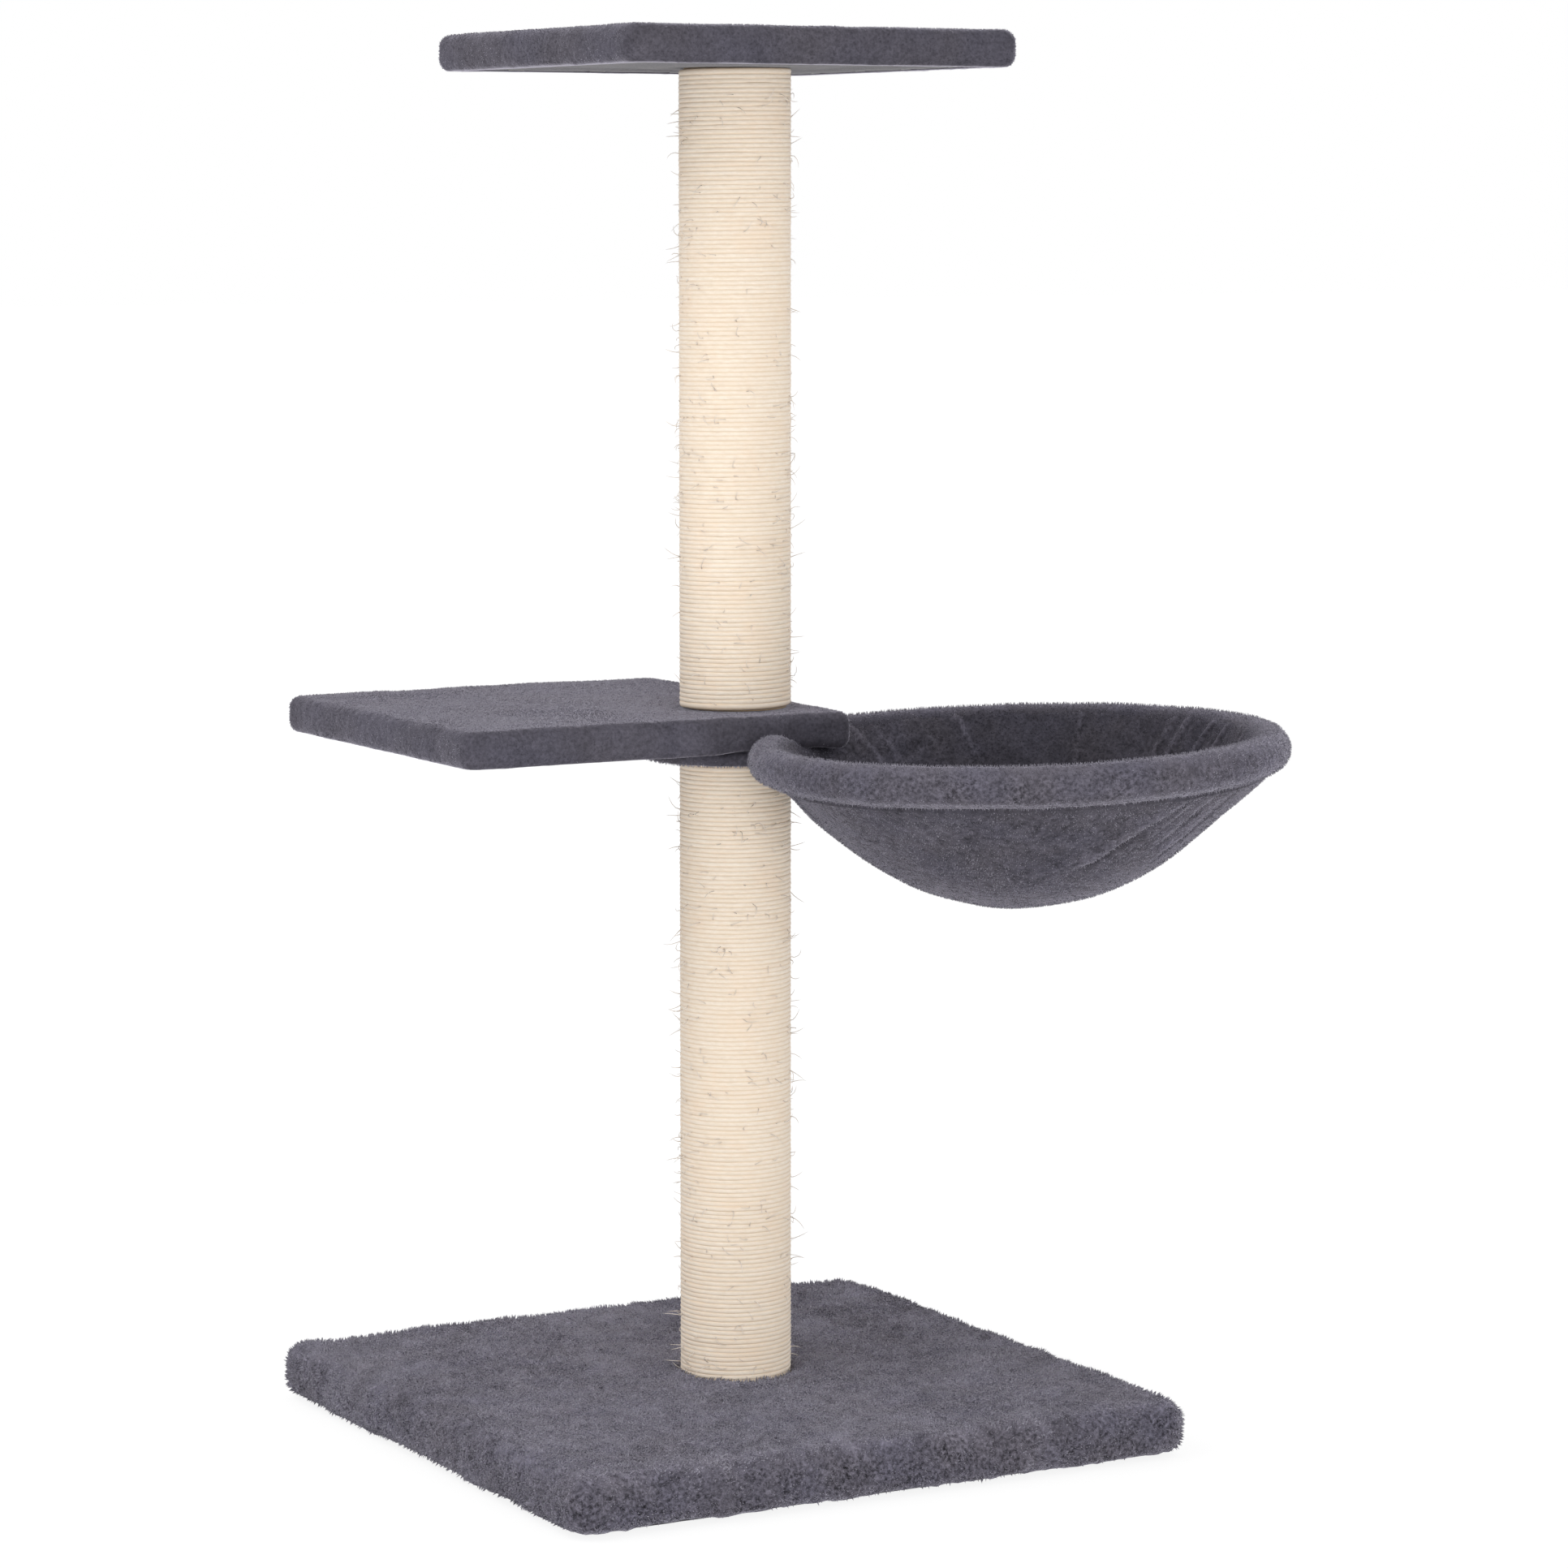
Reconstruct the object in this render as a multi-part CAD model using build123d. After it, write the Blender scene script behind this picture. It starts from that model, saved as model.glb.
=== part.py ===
from build123d import *

import os
from dataclasses import dataclass
from math import cos, hypot, radians, sin, tan

# A cat tree: a square base, two rope-wound posts one above the other, a square platform at the
# middle and one at the top, and a fabric bowl in a steel ring that hangs beside the middle platform.
# Millimetres. The origin is where the posts' axis meets the floor. +X runs along the base's front
# edge to the right, +Y from the front to the back, +Z up.

# ---- boards, covers and liners --------------------------------------------------------------

BASE_WIDTH = 401.4
BASE_HEIGHT = 33.8
BASE_BOARD_WIDTH = 384.0
BASE_BOARD_THICK = 22.0
BASE_CORNER = 14.5
BASE_TOP_EDGE = 14.0
BASE_BOTTOM_EDGE = 6.0
BASE_HEM = 2.0

PLATFORM_WIDTH = 252.0
PLATFORM_HEIGHT = 21.3
PLATFORM_BOARD_WIDTH = 246.0
PLATFORM_BOARD_THICK = 16.0
PLATFORM_CORNER = 9.0
PLATFORM_EDGE = 7.0
PLATFORM_HEM = 1.7

# Where the levels' centres lie, seen from the posts' axis.
OUTER_OFFSET = (-6.0, 3.3)  # of the base and the top platform
MIDDLE_OFFSET = (-76.0, 71.3)

BOARD_CORNER = 8.0
HEM_REACH = 30.0  # how far a cover is turned under its board
LINER_THICK = 1.0
LINER_MARGIN = 14.0  # from the cover's side to the liner's edge
LINER_CORNER = 6.0

STAPLE_WIRE = 0.8
STAPLE_CROWN = 10.0
STAPLE_LEG = 8.0
STAPLE_SINK = 0.1  # how deep a crown is pressed into the liner
BASE_STAPLES_PER_SIDE = 6
PLATFORM_STAPLES_PER_SIDE = 4

# ---- posts ----------------------------------------------------------------------------------

POST_LENGTH = 374.0
TUBE_RADIUS = 30.0
TUBE_BORE = 25.0
ROPE_RADIUS = 32.9
ROPE_PITCH = 2.65
ROPE_GROOVE = 0.6  # how deep the line between two turns of rope is
PLUG_LENGTH = 25.0
POST_SINK = 6.4  # how deep the lower post stands in the base's pile

TEE_FLANGE_RADIUS = 10.0
TEE_FLANGE_THICK = 1.5
TEE_BARREL_RADIUS = 5.0
TEE_BARREL_LENGTH = 10.0
TEE_PRONG_RING = 7.6
TEE_PRONG = (1.4, 2.4, 6.0)
TEE_PRONGS = 4

ROPE_STAPLE_ANGLE = 115.0
ROPE_STAPLE_LEG = 6.0
ROPE_STAPLE_INSET = 9.0  # from a post's end

# ---- bolts and stud -------------------------------------------------------------------------

THREAD_RADIUS = 3.95
THREAD_BORE = 4.0
CLEARANCE_BORE = 4.5
BOLT_REACH = 35.0  # how far a bolt or stud enters a post
BOLT_HEAD_RADIUS = 10.3
BOLT_HEAD_HEIGHT = 4.6
BOLT_NECK = 8.2
BOLT_NECK_LENGTH = 4.5
HEAD_BORE = 11.0
HEAD_SINK = 5.0

# ---- hammock --------------------------------------------------------------------------------

RING_CENTRE = (101.0, -153.7)
RING_RADIUS = 144.0  # to the middle of the steel rod
RING_TILT = 2.1  # degrees, the ring's right side up, about the Y axis
ROD_RADIUS = 2.5
RIM_RADIUS = 11.3
RIM_CLOTH = 1.2
RIM_GAP = 0.5  # between the rim and the lower post's end
RIM_ABOVE_BRACKET = 10.6  # from the top of the lower post to the middle of the padded rim
BRACKET_HEIGHT = 7.6
BRACKET_RADIUS = 55.0
BRACKET_EDGE = 2.0
PLATE_RADIUS = 52.0
PLATE_THICK = 2.5
PLATE_ABOVE_BRACKET = 1.5
BOWL_BELOW_RIM = 88.3  # from the middle of the rim to the bowl's lowest point
BOWL_ARC = 150.0  # radius of the bowl's rounded bottom
BOWL_SLOPE = 40.0  # degrees, of the bowl's straight sides
BOWL_CLOTH = 3.0

# ---- heights, worked out from the sizes above -------------------------------------------------

LOWER_POST_FOOT = BASE_HEIGHT - POST_SINK
BRACKET_FOOT = LOWER_POST_FOOT + POST_LENGTH
MIDDLE_FOOT = BRACKET_FOOT + BRACKET_HEIGHT
UPPER_POST_FOOT = MIDDLE_FOOT + PLATFORM_HEIGHT
TOP_FOOT = UPPER_POST_FOOT + POST_LENGTH
PLATE_FOOT = BRACKET_FOOT + PLATE_ABOVE_BRACKET
RING_REACH = hypot(*RING_CENTRE)
WELD_DROP = RING_CENTRE[0] * RING_RADIUS / RING_REACH * sin(radians(RING_TILT))  # the ring's low side
ROD_HEIGHT = PLATE_FOOT + PLATE_THICK / 2 + WELD_DROP
RIM_HEIGHT = BRACKET_FOOT + RIM_ABOVE_BRACKET
TALL = 2000.0  # longer than anything here, for cuts that go right through


@dataclass
class Level:
    """A board with its cover, turned under and closed by a liner."""

    name: str
    centre: tuple
    foot: float
    width: float
    height: float
    corner: float
    top_edge: float
    bottom_edge: float
    board_width: float
    board_thick: float
    hem: float
    staples_per_side: int

    @property
    def board_foot(self):
        return self.foot + LINER_THICK + self.hem

    @property
    def board_top(self):
        return self.board_foot + self.board_thick

    @property
    def top(self):
        return self.foot + self.height


BASE = Level(
    "base", OUTER_OFFSET, 0.0, BASE_WIDTH, BASE_HEIGHT, BASE_CORNER, BASE_TOP_EDGE,
    BASE_BOTTOM_EDGE, BASE_BOARD_WIDTH, BASE_BOARD_THICK, BASE_HEM, BASE_STAPLES_PER_SIDE,
)


def platform(name, centre, foot):
    """The middle and the top platform are alike but for their place."""
    return Level(
        name, centre, foot, PLATFORM_WIDTH, PLATFORM_HEIGHT, PLATFORM_CORNER, PLATFORM_EDGE,
        PLATFORM_EDGE, PLATFORM_BOARD_WIDTH, PLATFORM_BOARD_THICK, PLATFORM_HEM,
        PLATFORM_STAPLES_PER_SIDE,
    )


MIDDLE = platform("middle_platform", MIDDLE_OFFSET, MIDDLE_FOOT)
TOP = platform("top_platform", OUTER_OFFSET, TOP_FOOT)


# ---- shapes that several pieces use -----------------------------------------------------------


def column(radius, foot, top, centre=(0.0, 0.0)):
    """An upright cylinder between two heights."""
    place = Location((centre[0], centre[1], foot))
    return place * Cylinder(radius, top - foot, align=(Align.CENTER, Align.CENTER, Align.MIN))


def slab(width, corner, foot, top, centre=(0.0, 0.0)):
    """A square block between two heights, with its upright edges rounded."""
    outline = RectangleRounded(width, width, corner)
    return extrude(Location((centre[0], centre[1], foot)) * outline, top - foot)


def cushion_block(level, grow=0.0):
    """A level's outer form with every edge rounded, or that form grown evenly all over."""
    block = slab(level.width + 2 * grow, level.corner + grow,
                 level.foot - grow, level.top + grow, level.centre)
    faces = block.faces().sort_by(Axis.Z)
    block = fillet(faces[-1].edges(), level.top_edge + grow)
    faces = block.faces().filter_by(GeomType.PLANE).sort_by(Axis.Z)
    return fillet(faces[0].edges(), level.bottom_edge + grow)


def ring_place(height):
    """The middle of the ring at a height, turned by the ring's tilt."""
    return Location((*RING_CENTRE, height), (0, -1, 0), RING_TILT)


def ring_tube(tube_radius, height):
    """A torus round the hammock's ring circle."""
    return ring_place(height) * Torus(RING_RADIUS, tube_radius)


def staple(leg):
    """A staple with its crown along X at height 0 and its legs pointing up."""
    crown = Box(STAPLE_CROWN, STAPLE_WIRE, STAPLE_WIRE, align=(Align.CENTER, Align.CENTER, Align.MIN))
    legs = Box(STAPLE_WIRE, STAPLE_WIRE, leg, align=(Align.CENTER, Align.CENTER, Align.MIN))
    side = (STAPLE_CROWN - STAPLE_WIRE) / 2
    return crown + Location((-side, 0, 0)) * legs + Location((side, 0, 0)) * legs


# ---- boards, covers and liners ----------------------------------------------------------------


def carriage_bolt(length):
    """A bolt with a domed head below height 0, a square neck above it and a shank up to length."""
    dome_radius = (BOLT_HEAD_RADIUS**2 + BOLT_HEAD_HEIGHT**2) / (2 * BOLT_HEAD_HEIGHT)
    dome = Location((0, 0, dome_radius - BOLT_HEAD_HEIGHT)) * Sphere(dome_radius)
    head = dome & column(TALL / 2, -TALL, 0.0)
    neck = Box(BOLT_NECK, BOLT_NECK, BOLT_NECK_LENGTH, align=(Align.CENTER, Align.CENTER, Align.MIN))
    shank = column(THREAD_RADIUS, 0.0, length)
    return head + neck + shank


def base_bolt():
    """Pressed up into the base board from below. The lower post screws onto it."""
    head_height = BASE.board_foot + HEAD_SINK
    return Location((0, 0, head_height)) * carriage_bolt(LOWER_POST_FOOT + BOLT_REACH - head_height)


def top_bolt():
    """Pressed down into the top board from above. It screws into the upper post."""
    head_height = TOP.board_top - HEAD_SINK
    return Location((0, 0, head_height), (180, 0, 0)) * carriage_bolt(
        head_height - TOP_FOOT + BOLT_REACH
    )


def middle_stud():
    """Screwed into both posts. The bracket and the middle board are clamped round it."""
    return column(THREAD_RADIUS, BRACKET_FOOT - BOLT_REACH, UPPER_POST_FOOT + BOLT_REACH)


def board(level, bolt=None):
    """A square board with a hole for the stud, or with its captive bolt's own hollow."""
    blank = slab(level.board_width, BOARD_CORNER, level.board_foot, level.board_top, level.centre)
    drilled = blank - column(CLEARANCE_BORE, level.foot, level.top)
    if bolt is None:
        return drilled
    if level is BASE:
        pocket = column(HEAD_BORE, level.foot, level.board_foot + HEAD_SINK)
    else:
        pocket = column(HEAD_BORE, level.board_top - HEAD_SINK, level.top)
    return drilled - pocket - bolt


def liner(level, bored):
    """Felt that covers the turned-under hem and lies against the board inside it."""
    sheet = slab(level.width - 2 * LINER_MARGIN, LINER_CORNER,
                 level.foot, level.foot + LINER_THICK, level.centre)
    pad = slab(level.board_width - 2 * HEM_REACH, BOARD_CORNER,
               level.foot, level.board_foot, level.centre)
    whole = sheet + pad
    return whole - column(CLEARANCE_BORE, level.foot, level.top) if bored else whole


def cover(level, hole_foot=None):
    """The plush round a board, turned under it, with the posts' hole from hole_foot up."""
    inside = slab(level.board_width, BOARD_CORNER, level.board_foot, level.board_top, level.centre)
    shell = cushion_block(level) - inside - liner(level, bored=False)
    if hole_foot is None:
        return shell
    return shell - column(CLEARANCE_BORE, level.board_foot, level.top)


def base_cover():
    """The base's long pile, parted where the lower post stands in it."""
    return cover(BASE, BASE.board_top) - column(ROPE_RADIUS, LOWER_POST_FOOT, BASE.top)


def hem_staples(level):
    """Staples from below through the liner and the hem into the board, along all four sides."""
    reach = level.board_width / 2 - HEM_REACH / 2
    height = level.foot + STAPLE_SINK
    spacing = 2 * reach / level.staples_per_side
    row = [
        Location((-reach + spacing * (index + 0.5), -reach, 0)) * staple(STAPLE_LEG)
        for index in range(level.staples_per_side)
    ]
    sides = [Rotation(0, 0, 90 * turn) * one for turn in range(4) for one in row]
    place = Location((*level.centre, height))
    return Compound(children=[place * one for one in sides])


# ---- posts ------------------------------------------------------------------------------------


def tube(foot):
    """The cardboard tube of a post."""
    return column(TUBE_RADIUS, foot, foot + POST_LENGTH) - column(TUBE_BORE, foot, foot + POST_LENGTH)


def tee_nut():
    """A tee nut with its flange on top of height 0 and its barrel and prongs below."""
    flange = column(TEE_FLANGE_RADIUS, 0.0, TEE_FLANGE_THICK)
    barrel = column(TEE_BARREL_RADIUS, -TEE_BARREL_LENGTH, 0.0)
    prong = Box(*TEE_PRONG, align=(Align.CENTER, Align.CENTER, Align.MAX))
    prongs = [place * prong for place in PolarLocations(TEE_PRONG_RING, TEE_PRONGS)]
    body = flange + barrel
    for one in prongs:
        body += one
    return body - column(THREAD_BORE, -TEE_BARREL_LENGTH, TEE_FLANGE_THICK)


def foot_end(foot):
    """Where a post's lower tee nut sits: on the inner face of the plug, barrel down."""
    return Location((0, 0, foot + PLUG_LENGTH))


def head_end(foot):
    """Where a post's upper tee nut sits: under the inner face of the plug, barrel up."""
    return Location((0, 0, foot + POST_LENGTH - PLUG_LENGTH), (180, 0, 0))


def plug(low, nut):
    """A wooden plug glued into a tube's end, bored for its tee nut and the bolt."""
    blank = column(TUBE_BORE, low, low + PLUG_LENGTH) - column(CLEARANCE_BORE, low, low + PLUG_LENGTH)
    barrel_hole = nut + column(THREAD_BORE, low, low + PLUG_LENGTH)
    return blank - barrel_hole


def rope(foot):
    """Sisal wound round a tube, one ridge for each turn."""
    turns = round(POST_LENGTH / ROPE_PITCH)
    pitch = POST_LENGTH / turns
    valley = ROPE_RADIUS - ROPE_GROOVE
    outline = [(TUBE_RADIUS, foot), (valley, foot)]
    for turn in range(turns):
        low = foot + turn * pitch
        outline.append((ROPE_RADIUS, low + pitch / 2))
        outline.append((valley, low + pitch))
    outline.append((TUBE_RADIUS, foot + POST_LENGTH))
    section = make_face(Plane.XZ * Polyline(*outline, close=True))
    return revolve(section, Axis.Z)


def rope_staples():
    """One staple over the first and the last few turns of rope on each post."""
    pieces = []
    for foot in (LOWER_POST_FOOT, UPPER_POST_FOOT):
        for height in (foot + ROPE_STAPLE_INSET, foot + POST_LENGTH - ROPE_STAPLE_INSET):
            place = Rotation(0, 0, ROPE_STAPLE_ANGLE) * Location((0, -ROPE_RADIUS, height), (-90, 0, 0))
            pieces.append(place * staple(ROPE_STAPLE_LEG))
    return Compound(children=pieces)


# ---- hammock ----------------------------------------------------------------------------------


def bracket_plate():
    """The bracket's round plate with its hole for the stud, cut off along the ring."""
    plate = column(PLATE_RADIUS, PLATE_FOOT, PLATE_FOOT + PLATE_THICK)
    plate -= column(RING_RADIUS, PLATE_FOOT, PLATE_FOOT + PLATE_THICK, RING_CENTRE)
    return plate - column(CLEARANCE_BORE, PLATE_FOOT, PLATE_FOOT + PLATE_THICK)


def hammock_frame():
    """The steel ring, welded to the bracket's plate."""
    return bracket_plate() + ring_tube(ROD_RADIUS, ROD_HEIGHT)


def rim_form(inset=0.0):
    """The rim, pressed flat under the middle platform's corner and clear of the lower post."""
    gap = RIM_GAP + inset
    post = column(ROPE_RADIUS + gap, BRACKET_FOOT - RIM_RADIUS, BRACKET_FOOT + gap)
    return ring_tube(RIM_RADIUS - inset, RIM_HEIGHT) - cushion_block(MIDDLE, inset) - post


def rim_foam():
    """Foam round the steel ring."""
    return rim_form(RIM_CLOTH) - bracket_plate() - ring_tube(ROD_RADIUS, ROD_HEIGHT)


def rim_cover():
    """The plush sleeve over the foam, slit where the bracket's plate goes in."""
    return rim_form() - rim_form(RIM_CLOTH) - bracket_plate()


def bracket_cover():
    """The round plush pouch over the bracket's plate."""
    pouch = column(BRACKET_RADIUS, BRACKET_FOOT, MIDDLE_FOOT)
    pouch = fillet(pouch.edges().filter_by(GeomType.CIRCLE), BRACKET_EDGE)
    bore = column(CLEARANCE_BORE, BRACKET_FOOT, MIDDLE_FOOT)
    inside_ring = column(RING_RADIUS, BRACKET_FOOT, MIDDLE_FOOT, RING_CENTRE)
    return pouch - bore - inside_ring - bracket_plate() - ring_tube(RIM_RADIUS, RIM_HEIGHT)


def bowl():
    """The cloth bowl: a rounded bottom and straight sloping sides, sewn to the rim's underside."""
    slope = radians(BOWL_SLOPE)
    arc_centre = BOWL_ARC - BOWL_BELOW_RIM

    def side(radius):
        bottom = (0.0, arc_centre - radius)
        middle = (radius * sin(slope / 2), arc_centre - radius * cos(slope / 2))
        shoulder = (radius * sin(slope), arc_centre - radius * cos(slope))
        edge = (RING_RADIUS, shoulder[1] + (RING_RADIUS - shoulder[0]) * tan(slope))
        return ThreePointArc(bottom, middle, shoulder), Line(shoulder, edge)

    outer = side(BOWL_ARC)
    inner = side(BOWL_ARC - BOWL_CLOTH)
    hem = Line(outer[1] @ 1, inner[1] @ 1)
    middle = Line(outer[0] @ 0, inner[0] @ 0)
    section = make_face([Plane.XZ * edge for edge in (*outer, *inner, hem, middle)])
    shell = ring_place(RIM_HEIGHT) * revolve(section, Axis.Z)
    return shell - ring_tube(RIM_RADIUS, RIM_HEIGHT)


# ---- every piece by name ------------------------------------------------------------------------


def post_pieces(name, foot):
    """A post's tube, rope, plugs and tee nuts."""
    foot_nut = foot_end(foot) * tee_nut()
    head_nut = head_end(foot) * tee_nut()
    return {
        f"{name}_tube": tube(foot),
        f"{name}_sisal_rope": rope(foot),
        f"{name}_foot_plug": plug(foot, foot_nut),
        f"{name}_head_plug": plug(foot + POST_LENGTH - PLUG_LENGTH, head_nut),
        f"{name}_foot_tee_nut": foot_nut,
        f"{name}_head_tee_nut": head_nut,
    }


def hammock_pieces():
    """The hammock's frame, padding and cloth."""
    return {
        "hammock_frame": hammock_frame(),
        "hammock_rim_foam": rim_foam(),
        "hammock_rim_cover": rim_cover(),
        "hammock_bowl": bowl(),
        "bracket_cover": bracket_cover(),
    }


def all_pieces():
    """Every sub-part under its node's name."""
    lower_bolt = base_bolt()
    upper_bolt = top_bolt()
    pieces = {
        "base_board": board(BASE, lower_bolt),
        "base_cover": base_cover(),
        "base_liner": liner(BASE, bored=False),
        "base_staples": hem_staples(BASE),
        "base_carriage_bolt": lower_bolt,
        "middle_stud": middle_stud(),
        "middle_platform_board": board(MIDDLE),
        "middle_platform_cover": cover(MIDDLE, MIDDLE.foot),
        "middle_platform_liner": liner(MIDDLE, bored=True),
        "middle_platform_staples": hem_staples(MIDDLE),
        "top_platform_board": board(TOP, upper_bolt),
        "top_platform_cover": cover(TOP),
        "top_platform_liner": liner(TOP, bored=True),
        "top_platform_staples": hem_staples(TOP),
        "top_carriage_bolt": upper_bolt,
        "rope_staples": rope_staples(),
    }
    pieces.update(post_pieces("lower_post", LOWER_POST_FOOT))
    pieces.update(post_pieces("upper_post", UPPER_POST_FOOT))
    pieces.update(hammock_pieces())
    return pieces


os.makedirs("parts", exist_ok=True)
for node, solid in all_pieces().items():
    export_step(solid, f"parts/{node}.step")
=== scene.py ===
import bpy
import numpy as np
from dataclasses import dataclass
from functools import cached_property
from mathutils import Matrix, Vector

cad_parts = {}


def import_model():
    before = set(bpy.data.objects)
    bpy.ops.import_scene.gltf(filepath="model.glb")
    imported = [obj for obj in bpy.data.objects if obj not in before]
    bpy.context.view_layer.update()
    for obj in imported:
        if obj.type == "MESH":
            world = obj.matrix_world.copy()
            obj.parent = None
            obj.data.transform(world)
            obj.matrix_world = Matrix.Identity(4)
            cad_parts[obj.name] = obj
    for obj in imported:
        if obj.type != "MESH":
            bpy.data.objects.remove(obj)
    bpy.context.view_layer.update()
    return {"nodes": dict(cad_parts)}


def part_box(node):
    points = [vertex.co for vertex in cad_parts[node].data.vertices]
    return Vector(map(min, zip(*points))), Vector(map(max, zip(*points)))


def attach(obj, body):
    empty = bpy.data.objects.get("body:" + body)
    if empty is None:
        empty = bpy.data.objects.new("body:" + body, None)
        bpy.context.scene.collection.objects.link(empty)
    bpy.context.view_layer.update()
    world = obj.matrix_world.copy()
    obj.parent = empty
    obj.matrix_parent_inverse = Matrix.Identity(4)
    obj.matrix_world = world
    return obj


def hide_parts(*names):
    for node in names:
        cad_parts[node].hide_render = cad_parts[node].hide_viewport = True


# The looks of the cat tree: plush skins with a real pile over the boards and the hammock, rope
# wound round the posts, felt under the platforms, and a material for every piece.
# Metres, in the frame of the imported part: +X right, +Y back, +Z up, the posts' axis at x = y = 0.

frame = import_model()

MM = 0.001
TURN = 2 * np.pi
POST_BODY = "base_and_posts"
MIDDLE_BODY = "middle_level"
TOP_BODY = "top_level"

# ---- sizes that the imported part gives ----

ROPE_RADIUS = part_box("lower_post_sisal_rope")[1].x
LOWER_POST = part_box("lower_post_sisal_rope")[0].z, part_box("lower_post_sisal_rope")[1].z
UPPER_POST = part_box("upper_post_sisal_rope")[0].z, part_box("upper_post_sisal_rope")[1].z
BRACKET_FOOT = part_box("bracket_cover")[0].z
BRACKET_RADIUS = -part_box("bracket_cover")[0].x
BOWL_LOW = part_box("hammock_bowl")[0].z

# ---- sizes of the hammock's ring, as the part has them ----

RING_CENTRE = np.array([0.101, -0.1537])
RING_RADIUS = 0.144
RING_TILT = np.radians(2.1)  # its right side up, about the Y axis
RIM_RADIUS = 0.0113
RIM_HEIGHT = BRACKET_FOOT + 0.0106

# ---- sizes of the looks ----

ROPE_PITCH = 2.65 * MM
HEM_REACH = 30 * MM


@dataclass
class Cushion:
    """A square board in its plush cover: its place and the cover's outer form."""

    name: str
    body: str
    centre: tuple
    foot: float
    top: float
    half: float
    corner: float
    top_edge: float
    bottom_edge: float
    board_foot: float
    board_top: float
    board_half: float
    sag: float  # how far the hem hangs below the cover's flat underside
    grid: int  # quads along one side of the skin, an even number
    wall_step: float


def cushion(name, body, **form):
    """A cushion with its place and size read from its CAD cover and board."""
    low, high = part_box(f"{name}_cover")
    board_low, board_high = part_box(f"{name}_board")
    return Cushion(
        name, body, centre=((low.x + high.x) / 2, (low.y + high.y) / 2),
        foot=low.z, top=high.z, half=(high.x - low.x) / 2,
        board_foot=board_low.z, board_top=board_high.z, board_half=(board_high.x - board_low.x) / 2,
        **form,
    )


BASE = cushion("base", POST_BODY, corner=14.5 * MM, top_edge=14 * MM, bottom_edge=11 * MM, sag=0.0,
               grid=184, wall_step=2.2 * MM)
MIDDLE = cushion("middle_platform", MIDDLE_BODY, corner=9 * MM, top_edge=7 * MM, bottom_edge=7 * MM,
                 sag=1.5 * MM, grid=160, wall_step=1.6 * MM)
TOP = cushion("top_platform", TOP_BODY, corner=9 * MM, top_edge=7 * MM, bottom_edge=7 * MM,
              sag=0.8 * MM, grid=160, wall_step=1.6 * MM)

# ---- noise and small helpers ----


def smooth(value):
    """0 below 0, 1 above 1 and a smooth step between."""
    part = np.clip(value, 0, 1)
    return part * part * (3 - 2 * part)


def fade(value, start, width):
    """0 up to start, 1 from a width beyond it and a smooth step between."""
    return smooth((value - start) / width)


def bell(value):
    """1 at 0, falling off to both sides."""
    return np.exp(-(value**2))


def lattice(cells, seed):
    """A steady number from -1 to 1 for each whole-numbered place."""
    key = cells @ np.array([374761393, 668265263, 2147483629]) + seed * 1274126177
    key &= 0xFFFFFFFF
    key = ((key ^ (key >> 13)) * 1274126177) & 0xFFFFFFFF
    key ^= key >> 16
    return (key & 0xFFFF) / 32767.5 - 1


def noise(points, size, seed):
    """Smooth noise from -1 to 1 at points (n, 3), with forms about size across."""
    place = points / size
    cell = np.floor(place).astype(np.int64)
    part = place - cell
    part = part * part * (3 - 2 * part)
    total = np.zeros(len(points))
    for corner in np.ndindex(2, 2, 2):
        weight = np.prod(np.where(corner, part, 1 - part), axis=1)
        total += weight * lattice(cell + corner, seed)
    return total


def noise_vector(points, size, seed):
    """Three noises side by side."""
    return np.stack([noise(points, size, seed + axis) for axis in range(3)], axis=1)


def unit(vectors):
    """Vectors (n, 3) at length 1."""
    return vectors / np.maximum(np.linalg.norm(vectors, axis=1, keepdims=True), 1e-12)


def aim(angle):
    """The flat direction at an angle."""
    return np.array([np.cos(angle), np.sin(angle)])


def reach_of(points):
    """How far points lie from the Z axis."""
    return np.hypot(points[:, 0], points[:, 1])


def degrees_round(points):
    """Which way points lie from the Z axis."""
    return np.degrees(np.arctan2(points[:, 1], points[:, 0]))


def add_piece(name, body, points, groups, material):
    """A smooth mesh object that rides on a body. Each group is faces with one number of corners."""
    mesh = bpy.data.meshes.new(name)
    corners = np.concatenate([np.asarray(group, np.int32).ravel() for group in groups])
    counts = np.concatenate([np.full(len(group), np.shape(group)[1]) for group in groups])
    mesh.vertices.add(len(points))
    mesh.vertices.foreach_set("co", np.asarray(points, np.float32).ravel())
    mesh.loops.add(len(corners))
    mesh.loops.foreach_set("vertex_index", corners)
    mesh.polygons.add(len(counts))
    starts = np.concatenate([[0], np.cumsum(counts)[:-1]])
    mesh.polygons.foreach_set("loop_start", starts.astype(np.int32))
    mesh.polygons.foreach_set("use_smooth", np.ones(len(counts), bool))
    mesh.update(calc_edges=True)
    mesh.materials.append(material)
    piece = bpy.data.objects.new(name, mesh)
    bpy.context.scene.collection.objects.link(piece)
    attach(piece, body)
    return piece


def grid_faces(rows, columns, wrap_rows=False, wrap_columns=False):
    """Quads of a rows x columns grid of points, counted along its rows."""
    low = np.arange(rows if wrap_rows else rows - 1)
    left = np.arange(columns if wrap_columns else columns - 1)
    row, column = np.meshgrid(low, left, indexing="ij")
    next_row = (row + 1) % rows
    next_column = (column + 1) % columns
    return np.stack([
        row * columns + column, row * columns + next_column,
        next_row * columns + next_column, next_row * columns + column,
    ], axis=-1).reshape(-1, 4)


def read_points(mesh, what="vertices", field="co"):
    """A field with three numbers of all vertices or normals of a mesh."""
    items = getattr(mesh, what)
    values = np.empty(len(items) * 3, np.float32)
    items.foreach_get(field, values)
    return values.reshape(-1, 3).astype(float)


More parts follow.
